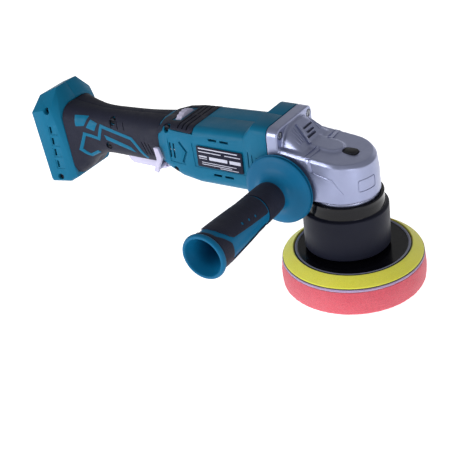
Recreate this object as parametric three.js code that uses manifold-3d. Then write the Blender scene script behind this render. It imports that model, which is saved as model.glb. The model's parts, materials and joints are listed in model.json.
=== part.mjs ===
// Dual action polisher: cordless body, angled gear case, eccentric drive, backing plate and foam pad.
// Millimetres. +Z up, +X towards the nose, side handle towards -Y.
// The origin is on the spindle axis, in the working face of the foam pad.

import * as THREE from 'three';
import { mergeVertices } from 'three/addons/utils/BufferGeometryUtils.js';
import Module from 'manifold-3d';

const wasm = await Module();
wasm.setup();

// ---------------------------------------------------------------- clearances and walls
const GAP = 0.3;            // between pieces that rest on or face each other
const SLIDE = 0.5;          // around pieces that slide or swing
const WALL = 2.5;           // moulded housing wall
const SKIN = 2.0;           // soft overmould thickness
const OPEN_END = 30;        // how far a cutter runs past the piece it cuts

// ---------------------------------------------------------------- pad and backing plate
const THROW = 4.35;         // spindle axis to pad axis, half of the orbit diameter
const FOAM_HEIGHT = 23.1;
const FOAM_R = 64;
const LOOP_HEIGHT = 2.6;
const PLATE_R = 52.2;       // rigid disc of the backing plate
const PLATE_THICK = 5;
const RIM_R = 62.5;         // soft bevelled rim of the backing plate
const RIM_DROP = 8.3;       // height of the bevel
const CUSHION = 2.6;        // soft layer under the rigid disc
const LOOP_Z = FOAM_HEIGHT + GAP;
const RIM_Z = LOOP_Z + LOOP_HEIGHT + GAP;
const PLATE_Z = RIM_Z + CUSHION + GAP;
const PLATE_TOP = PLATE_Z + PLATE_THICK;

// ---------------------------------------------------------------- drive
const MOTOR_Z = 112;        // height of the motor axis
const SHAFT_R = 4;          // rotor shaft
const SPINDLE_R = 6;
const WHEEL_TEETH = 37;
const PINION_TEETH = 11;
const WHEEL_R = 23;         // pitch radius at the outer ends of the teeth
const PINION_R = WHEEL_R * PINION_TEETH / WHEEL_TEETH;
const FACE_WIDTH = 7;       // length of the teeth
const TOOTH_DEPTH = 1.3;
const TOOTH_GAP = 0.4;      // between the tooth bands, so that the bands never touch
const WHEEL_THICK = 6;
const LOCK_HOLES = 4;
const LOCK_HOLE_R = 2.6;
const LOCK_CIRCLE_R = 12;   // circle of the locking holes in the wheel
const LOWER_BEARING = { bore: SPINDLE_R, outer: 13, height: 8 };
const UPPER_BEARING = { bore: SHAFT_R, outer: 7, height: 7 };
const FRONT_BEARING = { bore: SHAFT_R, outer: 11, height: 7 };
const REAR_BEARING = { bore: SHAFT_R, outer: 8, height: 5 };
const PAD_BEARING = { bore: 5, outer: 11, height: 7 };
const CAN_R = 22.2;
const CAN_WALL = 2.2;
const MAGNET_THICK = 2.6;
const AIR_GAP = 0.5;
const CAN_REAR = -133;
const CAN_FRONT = -93;
const COMMUTATOR_R = 8.5;

// ---------------------------------------------------------------- gear case
const CASE_BOTTOM = 89.6;
const COVER_BOTTOM = CASE_BOTTOM - 6;
const CASE_R = 31.7;        // nose radius at the bottom edge
const CASE_TOP_R = 28;      // nose radius at the deck
const CASE_WALL = 3.2;
const CASE_REAR = -55.9;
const FLANGE_FRONT = -44.9;
const FLANGE_TOP = 150;
const FLANGE_BOTTOM = 76;
const FLANGE_HALF = 30.5;
const FLANGE_CORNER = 7;
const FLANGE_SCREW = { head: 3.1, shank: 1.8, recess: 3.6, recessDepth: 2.4 };
const DECK_FRONT_Z = 124;   // deck height at the nose
const UPPER_SEAT_TOP = DECK_FRONT_Z - 5.5;   // roof of the upper bearing's pocket
const DECK_RISE = 0.11;     // rise of the deck towards the rear, per unit length
const RIDGE_STEP = 2.2;     // raised centre of the deck
const RIDGE_HALF = 10.5;
const RIDGE_FRONT = 1;
const DOME_HALF = 23.5;     // the dome arches over the motor shaft and slopes down to the deck
const DOME_LOW = 112;
const DOME_TOP = 147;
const DOME_CORNER = 17;
const DOME_CREST = -41;
const DOME_FOOT = -25;
// Exhaust slots across the dome's slope: x of the rear edge, and the two ends in y.
const EXHAUST = [[-36.5, -1.5, 12.8], [-33.3, -1, 10.4], [-30.7, -5.4, 8.8]];
const EXHAUST_WIDTH = 1.7;
const BUTTON = { x: 8.4, halfLength: 6.6, halfWidth: 5.2, stem: 2, proud: 0.8 };

// ---------------------------------------------------------------- shroud and hub
const SHROUD_R = 38.2;
const SHROUD_BOTTOM = 37.7;
const SHROUD_STEP = 75.5;
const SHROUD_WALL = 2.4;
const HUB_BOTTOM = 44;
const HUB_TOP = 72;
const HUB_R = 21;
const WEIGHT_R = 33;

// ---------------------------------------------------------------- housing
const JOINT_X = -56.2;      // rear face of the gear case flange
const BODY_HALF = 28;       // half width of the motor housing
const BODY_TOP = 139.4;
const BODY_BOTTOM = 82;
const BODY_CORNER = 8;
const GRIP_HALF = 18.5;     // half width of the rear grip
const GRIP_TOP = 129.5;
const GRIP_BOTTOM = 84;
const GRIP_CORNER = 14.5;
const GRIP_FRONT = -180;
const GRIP_REAR = -256;
const FOOT_FRONT = -297;
const FOOT_REAR = -319;
const FOOT_HALF = 34.5;
const FOOT_TOP = 139;
const FOOT_BOTTOM = 52;
const FOOT_CORNER = 4;
const FOOT_LEAN = 0.118;    // the rear face leans, its lower end is further forward
const FOOT_RISE = 10;       // the top of the foot rises towards the grip
const FLARE_HALF = 29;      // half width of the grip where it runs into the foot
const MOTOR_REAR = -168;
const MOTOR_SHOULDER = -154;
const MOTOR_MIDDLE = -134;
const MOTOR_FRONT = -82;    // the flat of the motor housing ends and the flange begins
const FLANGE_REAR = -72;
const COLLAR_FRONT = -136;  // soft collar behind the motor housing
const COLLAR_REAR = -176;
const COLLAR_LOW = 131;
const COLLAR_NOTCH = 17;    // the notch round the front upper screw reaches in to this far from the middle
// Air slots beside the motor, and upright slots behind it.
const VENT = { xs: [-118.8, -106.5], length: 9, height: 2.2, topZ: 127.6, lowZ: 93, shift: 1.8 };
const GRILLE = { xs: [-165.6, -161], width: 2, low: 102.5, high: 117.5 };
const LABEL = { rear: -132.4, front: -84, low: 100.8, high: 121.2, thick: 0.5 };
const BAY = { half: 26, depth: 7.2, lip: 3.4, lipThick: 2.8, top: 131 };
const BLOCK = { half: 16.5, bottom: 92, top: 121, blade: 5.5 };   // battery contact block
const SCREW = { head: 3, shank: 1.6, reach: 8, recess: 3.4, recessDepth: 3.2, boss: 3.6 };
const BODY_SCREWS = [
  { name: 'front_upper', x: -167.2, z: 130, half: BODY_HALF - 4.8 },
  { name: 'front_lower', x: -160, z: 91, half: BODY_HALF - 3 },
  { name: 'grip_upper', x: -238, z: 122.6, half: GRIP_HALF - 2.8 },
  { name: 'grip_lower', x: -245, z: 97, half: GRIP_HALF - 0.5 },
  { name: 'foot_upper', x: -306.5, z: 129.5, half: FOOT_HALF - 6 },
  { name: 'foot_lower', x: -304, z: 59, half: FOOT_HALF - 3.2 },
];

// ---------------------------------------------------------------- controls
const DIAL = { x: -161.5, z: 122.5, r: 17, half: 2.8 };
const PADDLE = { hingeX: -178, hingeZ: 90, front: -176, rear: -228, bottom: 80.2, top: 87, half: 12.5 };
const PADDLE_PIN_R = 1.6;
// The lever's tab stands outside both the grip and the motor housing beside it.
const LEVER_OUT = Math.max(GRIP_HALF + 5.9, BODY_HALF - 3.6);
const LEVER = { x: -184, z: 86.4, barrel: 2.4, tabIn: -LEVER_OUT, tabThick: 2.8 };
const SWITCH = { front: -192, rear: -222, bottom: 98, top: 119, half: 8 };
const BOARD = { rear: -290, front: -244, half: 12, z: 111 };
const PLUNGER = { x: -206, half: 3, rise: 3.2 };

// ---------------------------------------------------------------- side handle
const SIDE = { x: -44.3, z: 97.3, boss: 32.2, bossR: 11, guardFront: -38.1, end: -154.7 };
const GUARD_R = 32.1;
const STUD_R = 4;
const STUD_DEPTH = 13;
const SIDE_CORE_R = 13.6;
const SIDE_HOLLOW_R = 11.6;
const SIDE_END_R = 20.2;
const RING_THICK = 2;
const RING_R = 32.6;

// ================================================================ geometry helpers

// A closed geometry as a solid, with its faces turned outwards.
function solid(geometry) {
  const bare = geometry.clone();
  for (const name of ['normal', 'uv']) bare.deleteAttribute(name);
  const merged = mergeVertices(bare, 1e-4);
  const index = merged.index.array;
  const p = merged.attributes.position.array;
  const kept = [];
  let volume = 0;
  for (let i = 0; i < index.length; i += 3) {
    const [a, b, c] = [index[i], index[i + 1], index[i + 2]];
    if (a === b || b === c || c === a) continue;
    kept.push(a, b, c);
    volume += p[3 * a] * (p[3 * b + 1] * p[3 * c + 2] - p[3 * b + 2] * p[3 * c + 1])
      - p[3 * a + 1] * (p[3 * b] * p[3 * c + 2] - p[3 * b + 2] * p[3 * c])
      + p[3 * a + 2] * (p[3 * b] * p[3 * c + 1] - p[3 * b + 1] * p[3 * c]);
  }
  if (volume < 0) kept.reverse();
  const mesh = new wasm.Mesh({
    numProp: 3, vertProperties: new Float32Array(p), triVerts: new Uint32Array(kept),
  });
  return new wasm.Manifold(mesh);
}

// The solid's vertices and triangles as a geometry.
function geometryOf(body) {
  const mesh = body.getMesh();
  const geometry = new THREE.BufferGeometry();
  const points = new Float32Array(mesh.numVert * 3);
  for (let i = 0; i < mesh.numVert; i += 1) {
    for (let k = 0; k < 3; k += 1) points[3 * i + k] = mesh.vertProperties[mesh.numProp * i + k];
  }
  geometry.setAttribute('position', new THREE.BufferAttribute(points, 3));
  geometry.setIndex(new THREE.BufferAttribute(new Uint32Array(mesh.triVerts), 1));
  return geometry;
}

// A solid of revolution about +Z from [radius, height] pairs. The outline closes on itself or on the axis.
function turned(outline, sides = 24) {
  const points = outline.map(([r, z]) => new THREE.Vector2(r, z));
  const onAxis = outline[0][0] === 0 && outline[outline.length - 1][0] === 0;
  if (!onAxis) points.push(points[0].clone());
  return solid(new THREE.LatheGeometry(points, sides).rotateX(Math.PI / 2));
}

function cylinder(r, z0, z1, sides = 24) {
  return turned([[0, z0], [r, z0], [r, z1], [0, z1]], sides);
}

function tube(inner, outer, z0, z1, sides = 24) {
  return turned([[inner, z0], [outer, z0], [outer, z1], [inner, z1]], sides);
}

// Turns a solid made along +Z to lie along +X or +Y, then moves it.
function alongX(body, x = 0, y = 0, z = 0) {
  return body.rotate([0, 90, 0]).translate([x, y, z]);
}

function alongY(body, x = 0, y = 0, z = 0) {
  return body.rotate([-90, 0, 0]).translate([x, y, z]);
}

function box(x0, x1, y0, y1, z0, z1) {
  const shape = new THREE.BoxGeometry(x1 - x0, y1 - y0, z1 - z0);
  return solid(shape.translate((x0 + x1) / 2, (y0 + y1) / 2, (z0 + z1) / 2));
}

// A plate of the given outline, [u, v] pairs, from z0 to z1.
function plate(outline, z0, z1) {
  const shape = new THREE.Shape(outline.map(([u, v]) => new THREE.Vector2(u, v)));
  const shapeSolid = new THREE.ExtrudeGeometry(shape, { depth: z1 - z0, bevelEnabled: false });
  return solid(shapeSolid.translate(0, 0, z0));
}

// The outline of a rectangle with round corners, as [u, v] pairs, anticlockwise.
function roundedOutline(halfU, low, high, corner, steps = 3) {
  const r = Math.min(corner, halfU - 0.5, (high - low) / 2 - 0.5);
  const centres = [[halfU - r, high - r], [r - halfU, high - r], [r - halfU, low + r], [halfU - r, low + r]];
  return centres.flatMap(([u, v], quarter) => Array.from({ length: steps + 1 }, (_, i) => {
    const angle = (quarter + i / steps) * Math.PI / 2;
    return [u + r * Math.cos(angle), v + r * Math.sin(angle)];
  }));
}

// A solid through cross-sections of equal point counts, each an array of Vector3.
function loft(rings) {
  const count = rings[0].length;
  const centre = (ring) => ring.reduce((sum, p) => sum.add(p), new THREE.Vector3()).divideScalar(count);
  const points = [...rings.flat(), centre(rings[0]), centre(rings[rings.length - 1])];
  const index = [];
  for (let s = 0; s < rings.length - 1; s += 1) {
    for (let i = 0; i < count; i += 1) {
      const [a, b] = [s * count + i, s * count + (i + 1) % count];
      index.push(a, b, b + count, a, b + count, a + count);
    }
  }
  const last = (rings.length - 1) * count;
  for (let i = 0; i < count; i += 1) {
    const next = (i + 1) % count;
    index.push(rings.length * count, next, i, rings.length * count + 1, last + i, last + next);
  }
  const geometry = new THREE.BufferGeometry().setFromPoints(points);
  geometry.setIndex(index);
  return solid(geometry);
}

// Rectangle with small lower corners, and upper corners cut off at a slant.
function slantedOutline(half, low, high, corner, [cutWidth, cutHeight]) {
  const right = [
    [half - corner, low], [half - corner * 0.3, low + corner * 0.3], [half, low + corner],
    [half, high - cutHeight], [half - cutWidth, high],
  ];
  return [...right, ...right.map(([u, v]) => [-u, v]).reverse()];
}

// One cross-section of a loft along X, symmetric about Y = 0. Corners are round unless the upper ones are cut.
function station(x, half, low, high, corner, lean = 0, cut = null) {
  return { x, half, low, high, corner, lean, cut };
}

// A loft along X through stations, with every side moved in by the inset.
function bodyLoft(stations, inset = 0) {
  return loft(stations.map(({ x, half, low, high, corner, lean = 0, cut }) => {
    const middle = (low + high) / 2;
    const sides = [half - inset, low + inset, high - inset, Math.max(corner - inset, 1)];
    const outline = cut ? slantedOutline(...sides, cut) : roundedOutline(...sides);
    return outline.map(([y, z]) => new THREE.Vector3(x + lean * (middle - z), y, z));
  }));
}

function union(parts) {
  return parts.reduce((sum, part) => sum.add(part));
}

// ================================================================ shared outlines

// Stations of the outer skin, from the battery foot to the gear case joint.
function gripStations() {
  const rise = (GRIP_TOP - GRIP_BOTTOM) / 2;
  return [
    station(FOOT_FRONT - 2, FLARE_HALF, FOOT_BOTTOM + 4, FOOT_TOP - 1, GRIP_CORNER, 0.2),
    station(FOOT_FRONT + 10, GRIP_HALF + 6, FOOT_BOTTOM + 11, GRIP_TOP + 2, GRIP_CORNER, 0.15),
    station(FOOT_FRONT + 25, GRIP_HALF + 1.5, GRIP_BOTTOM - rise * 0.45, GRIP_TOP - 0.5, GRIP_CORNER),
    station(GRIP_REAR, GRIP_HALF, GRIP_BOTTOM - 1.5, GRIP_TOP - 1.5, GRIP_CORNER),
    station(GRIP_REAR + 26, GRIP_HALF, GRIP_BOTTOM, GRIP_TOP - 0.5, GRIP_CORNER),
    station(GRIP_FRONT - 25, GRIP_HALF + 0.5, GRIP_BOTTOM + 0.5, GRIP_TOP + 1, GRIP_CORNER),
    station(GRIP_FRONT, GRIP_HALF + 3, GRIP_BOTTOM + 3, GRIP_TOP + 3, GRIP_CORNER),
  ];
}

function motorStations() {
  return [
    station(GRIP_FRONT, GRIP_HALF + 3, GRIP_BOTTOM + 3, GRIP_TOP + 3, GRIP_CORNER),
    station(MOTOR_REAR, BODY_HALF - 2.5, BODY_BOTTOM + 6, BODY_TOP - 5, BODY_CORNER),
    station(MOTOR_SHOULDER, BODY_HALF - 0.6, BODY_BOTTOM + 1.5, BODY_TOP - 3.4, BODY_CORNER),
    station(MOTOR_MIDDLE, BODY_HALF, BODY_BOTTOM - 1, BODY_TOP - 2.4, BODY_CORNER),
    station(MOTOR_FRONT, BODY_HALF, BODY_BOTTOM, BODY_TOP, BODY_CORNER),
    station(FLANGE_REAR, FLANGE_HALF, FLANGE_BOTTOM, FLANGE_TOP, FLANGE_CORNER),
    station(JOINT_X, FLANGE_HALF, FLANGE_BOTTOM, FLANGE_TOP, FLANGE_CORNER),
  ];
}

function footStations() {
  return [
    station(FOOT_REAR, FOOT_HALF, FOOT_BOTTOM, FOOT_TOP, FOOT_CORNER, FOOT_LEAN, [17, 11.5]),
    station(FOOT_FRONT - 2, FOOT_HALF - 4, FOOT_BOTTOM + 1, FOOT_TOP + FOOT_RISE, FOOT_CORNER, 0.08, [16, 17]),
    station(FOOT_FRONT + 6, FOOT_HALF - 8, FOOT_BOTTOM + 6, FOOT_TOP - 3, FOOT_CORNER, 0.1, [12, 12]),
  ];
}

const deckZ = (x) => DECK_FRONT_Z + DECK_RISE * (CASE_TOP_R - x);

// ================================================================ housing

// Turns a piece made square to X so that it follows the lean of the foot's rear face.
function onFoot(body) {
  const middle = (FOOT_TOP + FOOT_BOTTOM) / 2;
  return body.translate([-FOOT_REAR, 0, -middle])
    .rotate([0, -Math.atan(FOOT_LEAN) * 180 / Math.PI, 0])
    .translate([FOOT_REAR, 0, middle]);
}

// The two moulded halves before they are parted: motor housing, grip core and battery foot in one.
function housingShell() {
  const core = bodyLoft(gripStations(), SKIN + GAP);
  const outer = union([core, bodyLoft(motorStations()), bodyLoft(footStations())]);
  const [footRear, , footFront] = footStations();
  const footCavity = bodyLoft([{ ...footRear, x: FOOT_REAR + BAY.depth + WALL + 1 }, footFront], WALL + 1);
  const noseHalf = BODY_HALF - 4;
  const nose = box(JOINT_X - 8, JOINT_X + OPEN_END, -noseHalf, noseHalf, BODY_BOTTOM + 4, BODY_TOP - 4);
  const cavity = union([
    bodyLoft(gripStations(), SKIN + GAP + WALL), bodyLoft(motorStations(), WALL), footCavity, nose,
  ]);
  return outer.subtract(cavity)
    .add(bearingWall())
    .add(union(BODY_SCREWS.map(screwBoss)).intersect(outer))
    .subtract(union([collarRecess(), batteryBay(), paddlePocket(), dialPocket(), vents()]));
}

// A wall across the housing that holds the rear motor bearing.
function bearingWall() {
  const x1 = CAN_REAR - 14.5;
  const x0 = x1 - REAR_BEARING.height - 1;
  const slab = box(x0, x1, -BODY_HALF, BODY_HALF, BODY_BOTTOM, BODY_TOP)
    .intersect(bodyLoft(motorStations(), 1));
  return slab
    .subtract(alongX(cylinder(REAR_BEARING.outer + GAP, x0 - 1, x1 + 1, 24), 0, 0, MOTOR_Z))
    .subtract(box(x0 - 1, x1 + 1, -6, 6, MOTOR_Z + 12, BODY_TOP - 4));
}

// The collar sits in a step in the housing's rear upper surface.
function collarRecess() {
  const inner = bodyLoft(motorStations(), SKIN);
  const half = OPEN_END + 5;
  return box(COLLAR_REAR - GAP, COLLAR_FRONT + GAP, -half, half, COLLAR_LOW - GAP, BODY_TOP + 9)
    .subtract(inner);
}

// The bay that a battery slides up into: a channel with a lip along each side, open below.
function batteryBay() {
  const rear = FOOT_REAR - OPEN_END;
  const floor = FOOT_REAR + BAY.depth;
  const low = FOOT_BOTTOM - OPEN_END;
  const open = BAY.half - BAY.lip;
  const channel = box(FOOT_REAR + BAY.lipThick, floor, -BAY.half, BAY.half, low, BAY.top);
  const mouth = box(rear, floor, -open, open, low, BAY.top);
  const pocket = box(floor - 1, FOOT_FRONT + OPEN_END / 3, -BLOCK.half - GAP, BLOCK.half + GAP,
    BLOCK.bottom - GAP, BLOCK.top + GAP);
  return onFoot(union([channel, mouth, pocket]));
}

function paddlePocket() {
  const slot = box(PADDLE.rear - SLIDE, PADDLE.front + SLIDE, -(PADDLE.half + SLIDE), PADDLE.half + SLIDE,
    PADDLE.bottom - OPEN_END, PADDLE.top + 8);
  const leverNotch = box(LEVER.x - 8, LEVER.x + 5, LEVER.tabIn - OPEN_END, 0,
    PADDLE.bottom - OPEN_END, LEVER.z + 5);
  const pinHole = alongY(cylinder(PADDLE_PIN_R + GAP, -PADDLE.half - 3 - GAP, PADDLE.half + 3 + GAP, 14),
    PADDLE.hingeX, 0, PADDLE.hingeZ);
  return union([slot, leverNotch, pinHole]);
}

// Room for the thumbwheel and its post. The wheel's rim stands out through the slot that it leaves.
function dialPocket() {
  const wheel = cylinder(DIAL.r + SLIDE, -DIAL.half - SLIDE, DIAL.half + SLIDE);
  return alongX(wheel.add(cylinder(7 + SLIDE, 0, DIAL.half + 5 + SLIDE, 16)), DIAL.x, 0, DIAL.z);
}

// Air slots through both sides of the motor housing.
function vents() {
  const slots = [];
  for (const side of [-1, 1]) {
    const [y0, y1] = side < 0 ? [-OPEN_END - 5, -BODY_HALF + WALL + 1] : [BODY_HALF - WALL - 1, OPEN_END + 5];
    for (const x of VENT.xs) {
      const lowX = x + VENT.shift;
      slots.push(box(x, x + VENT.length, y0, y1, VENT.topZ, VENT.topZ + VENT.height));
      slots.push(box(lowX, lowX + VENT.length, y0, y1, VENT.lowZ, VENT.lowZ + VENT.height));
    }
    for (const x of GRILLE.xs) slots.push(box(x, x + GRILLE.width, y0 - 5, y1 + 3, GRILLE.low, GRILLE.high));
  }
  return union(slots);
}

// The screws lie along Y. Each head sinks into the left half and its shank reaches into the right half.
function screwRecess({ x, z, half }) {
  return alongY(cylinder(SCREW.recess, -half - 10, SCREW.recessDepth - half, 12)
    .add(cylinder(SCREW.shank + GAP, -half, SCREW.reach + 1, 10)), x, 0, z);
}

function screwBoss({ x, z, half }) {
  return alongY(cylinder(SCREW.boss, -half, half, 12)
    .add(cylinder(SCREW.recess + 1.6, -half, SCREW.recessDepth + 1.6 - half, 12)), x, 0, z);
}

function housingHalf(shell, side) {
  const [y0, y1] = side < 0 ? [-99, -GAP / 2] : [GAP / 2, 99];
  return largest(shell.subtract(union(BODY_SCREWS.map(screwRecess))).intersect(box(-400, 0, y0, y1, 0, 200)));
}

// Soft skin over one half of the grip.
function gripSkin(side) {
  const [y0, y1] = side < 0 ? [-99, -GAP / 2] : [GAP / 2, 99];
  const cuts = [paddlePocket(), bodyLoft(footStations()).translate([GAP + 0.1, 0, 0])];
  for (const { x, z, half } of BODY_SCREWS) {
    cuts.push(alongY(cylinder(SCREW.recess + GAP, -half - OPEN_END, -half / 2, 12), x, 0, z));
  }
  return largest(bodyLoft(gripStations()).subtract(bodyLoft(gripStations(), SKIN))
    .intersect(box(FOOT_FRONT - 2, GRIP_FRONT - GAP, y0, y1, 0, 200))
    .subtract(union(cuts)));
}

// The biggest separate body of a cut solid.
function largest(body) {
  return body.decompose().reduce((a, b) => (a.volume() > b.volume() ? a : b));
}

// Soft collar over the rear upper part of the motor housing.
function collarSkin(side) {
  const [frontUpper] = BODY_SCREWS;
  const [y0, y1] = side < 0 ? [-99, -GAP / 2] : [GAP / 2, 99];
  const notch = cylinder(SCREW.recess + 1.6 + GAP, -OPEN_END - 5, -COLLAR_NOTCH, 12);
  return largest(bodyLoft(motorStations()).subtract(bodyLoft(motorStations(), SKIN - GAP))
    .intersect(box(COLLAR_REAR, COLLAR_FRONT, y0, y1, COLLAR_LOW, 200))
    .subtract(dialPocket())
    .subtract(alongY(notch, frontUpper.x, 0, frontUpper.z)));
}

function bodyScrew({ x, z, half }) {
  const seat = SCREW.recessDepth - half - GAP;
  return alongY(slottedScrew(SCREW.shank, SCREW.head, seat, SCREW.reach), x, 0, z);
}

// A screw along +Z: its head ends at the seat, its shank runs on to the tip, and a slot crosses the head.
function slottedScrew(shankR, headR, seat, tip) {
  const top = seat - 2.2;
  return turned([[0, top], [headR, top], [headR, seat], [shankR, seat], [shankR, tip], [0, tip]], 10)
    .subtract(box(-headR, headR, -0.5, 0.5, top - 1, top + 1));
}

// ================================================================ gear case

function caseOutline(halfWidth, noseR, z, lean) {
  const steps = 16;
  const points = Array.from({ length: steps + 1 }, (_, i) => {
    const angle = -Math.PI / 2 + Math.PI * i / steps;
    return new THREE.Vector3(noseR * Math.cos(angle), halfWidth * Math.sin(angle), z);
  });
  for (const y of [halfWidth, -halfWidth]) {
    points.push(new THREE.Vector3(FLANGE_FRONT - 2, y, z));
  }
  return points.map((p) => p.setZ(lean ? deckZ(p.x) : z));
}

function gearCaseBody() {
  const bosses = alongY(cylinder(SIDE.bossR, -SIDE.boss, SIDE.boss, 24), SIDE.x, 0, SIDE.z);
  const lower = loft([
    caseOutline(CASE_R, CASE_R, CASE_BOTTOM, false),
    caseOutline(CASE_R - 0.6, CASE_R - 0.6, CASE_BOTTOM + 18, false),
    caseOutline(CASE_TOP_R + 1.6, CASE_TOP_R + 1.4, DECK_FRONT_Z - 3, false)
      .map((p) => p.setZ(deckZ(p.x) - 3)),
    caseOutline(CASE_TOP_R, CASE_TOP_R - 1.8, DECK_FRONT_Z, true),
  ]);
  const flange = bodyLoft([CASE_REAR, FLANGE_FRONT].map((x) => (
    station(x, FLANGE_HALF, FLANGE_BOTTOM, FLANGE_TOP, FLANGE_CORNER))));
  const dome = bodyLoft([
    station(FLANGE_FRONT - 3, DOME_HALF, DOME_LOW, DOME_TOP + 0.5, DOME_CORNER),
    station(DOME_CREST, DOME_HALF, DOME_LOW, DOME_TOP, DOME_CORNER),
    station(DOME_FOOT, DOME_HALF, DOME_LOW, deckZ(DOME_FOOT) + 0.2, 2),
  ]);
  const ridge = bodyLoft([[DOME_FOOT - 6, 0], [RIDGE_FRONT - 8, 0], [RIDGE_FRONT - 2.5, 3], [RIDGE_FRONT, 7]]
    .map(([x, narrower]) => station(x, RIDGE_HALF - narrower, DOME_LOW, deckZ(x) + RIDGE_STEP, 2)));
  return union([lower, flange, dome, ridge, bosses]);
}

function gearCase() {
  const cavityTop = UPPER_SEAT_TOP - 2;
  const cavity = cylinder(CASE_R - CASE_WALL, CASE_BOTTOM - 1, MOTOR_Z - 1, 32)
    .add(cylinder(CASE_TOP_R - CASE_WALL - 5, MOTOR_Z - 2, cavityTop - 6, 32));
  const upperSeat = cylinder(UPPER_BEARING.outer + GAP, cavityTop - 8, UPPER_SEAT_TOP, 24);
  const tunnel = alongX(cylinder(13, CASE_REAR - 1, -10, 24), 0, 0, MOTOR_Z);
  const bearingSeat = alongX(cylinder(FRONT_BEARING.outer + GAP, 0, 5, 24), CASE_REAR, 0, MOTOR_Z);
  const stem = cylinder(BUTTON.stem + SLIDE, MOTOR_Z - 8, DECK_FRONT_Z + 9, 14)
    .translate([LOCK_CIRCLE_R, 0, 0]);
  return gearCaseBody()
    .subtract(cavity).subtract(upperSeat).subtract(tunnel).subtract(bearingSeat)
    .subtract(stem).subtract(buttonOutline(BUTTON.halfLength + SLIDE, BUTTON.halfWidth + SLIDE,
      DECK_FRONT_Z - 5, DECK_FRONT_Z + 12))
    .subtract(exhaustSlots())
    .subtract(sideBores())
    .subtract(union(flangeCorners().map(flangeScrewHole)));
}

function buttonOutline(halfLength, halfWidth, z0, z1) {
  const outline = roundedOutline(halfLength, -halfWidth, halfWidth, halfWidth - 0.6, 5);
  return plate(outline, z0, z1).translate([BUTTON.x, 0, 0]);
}

// Three slots across the slope of the dome.
function exhaustSlots() {
  return union(EXHAUST.map(([x, y0, y1]) => (
    box(x, x + EXHAUST_WIDTH, y0, y1, MOTOR_Z + 14, DOME_TOP + 6))));
}

// Bores for the side handle's stud in both sides, and their flat faces.
function sideBores() {
  const bores = [-1, 1].map((side) => {
    const near = side < 0;
    const y0 = near ? -SIDE.boss - 1 : SIDE.boss - STUD_DEPTH;
    const y1 = near ? STUD_DEPTH + GAP - SIDE.boss : SIDE.boss + 1;
    return alongY(cylinder(STUD_R + GAP, y0, y1, 20), SIDE.x, 0, SIDE.z);
  });
  return union(bores);
}

function flangeCorners() {
  const y = FLANGE_HALF - 6;
  return [[-y, FLANGE_TOP - 7], [y, FLANGE_TOP - 7], [-y, FLANGE_BOTTOM + 7], [y, FLANGE_BOTTOM + 7]];
}

function flangeScrewHole([y, z]) {
  const { shank, recess, recessDepth } = FLANGE_SCREW;
  return alongX(cylinder(shank + GAP, CASE_REAR - 1, OPEN_END, 10), 0, y, z)
    .add(alongX(cylinder(recess, FLANGE_FRONT - recessDepth, OPEN_END, 12), 0, y, z));
}

function flangeScrew([y, z]) {
  const { shank, head, recessDepth } = FLANGE_SCREW;
  const seat = recessDepth - FLANGE_FRONT - GAP;
  return slottedScrew(shank, head, seat, -CASE_REAR - 0.5).rotate([0, -90, 0]).translate([0, y, z]);
}

// The plate under the gear case that holds the lower spindle bearing.
function bearingCover() {
  const outer = CASE_R - CASE_WALL - GAP;
  const seatTop = COVER_BOTTOM + LOWER_BEARING.height;
  return turned([
    [LOWER_BEARING.outer + GAP, COVER_BOTTOM], [CASE_R - 1.2, COVER_BOTTOM],
    [CASE_R - 1.2, CASE_BOTTOM - GAP], [outer, CASE_BOTTOM - GAP],
    [outer, seatTop + 1], [LOWER_BEARING.outer - 2, seatTop + 1],
    [LOWER_BEARING.outer - 2, seatTop], [LOWER_BEARING.outer + GAP, seatTop],
  ], 32);
}

// The lock button, its stem and the pin that drops into the wheel.
function lockButton() {
  const wheelTop = wheelTopZ();
  const top = deckZ(BUTTON.x) + BUTTON.proud;
  const cap = buttonOutline(BUTTON.halfLength, BUTTON.halfWidth, DECK_FRONT_Z - 0.4, top);
  const pin = cylinder(BUTTON.stem, wheelTop + 1, DECK_FRONT_Z, 14).translate([LOCK_CIRCLE_R, 0, 0]);
  return cap.add(pin);
}

// ================================================================ drive train

function bearing({ bore, outer, height }, z0, sides = 20) {
  return tube(bore + GAP, outer, z0, z0 + height, sides);
}

// Teeth lie on cones whose shared apex is where the two axes meet.
const wheelTopZ = () => MOTOR_Z - PINION_R;

function gearBand(teeth, coneRadius, coneHeight, faceShare, depth, backing) {
  const ring = (scale, extra) => {
    const points = [];
    for (let i = 0; i < teeth * 2; i += 1) {
      const angle = Math.PI * i / teeth;
      const r = coneRadius * scale;
      const lift = i % 2 === 0 ? depth * scale : -depth * scale;
      const norm = Math.hypot(coneRadius, coneHeight);
      points.push(new THREE.Vector3(
        (r + lift * coneHeight / norm) * Math.cos(angle),
        (r + lift * coneHeight / norm) * Math.sin(angle),
        coneHeight * scale - lift * coneRadius / norm + extra,
      ));
    }
    return points;
  };
  const back = ring(1, 0).map((p) => new THREE.Vector3(p.x, p.y, coneHeight + backing));
  return [back, ring(1, 0), ring(1 - faceShare, 0)];
}

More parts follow.
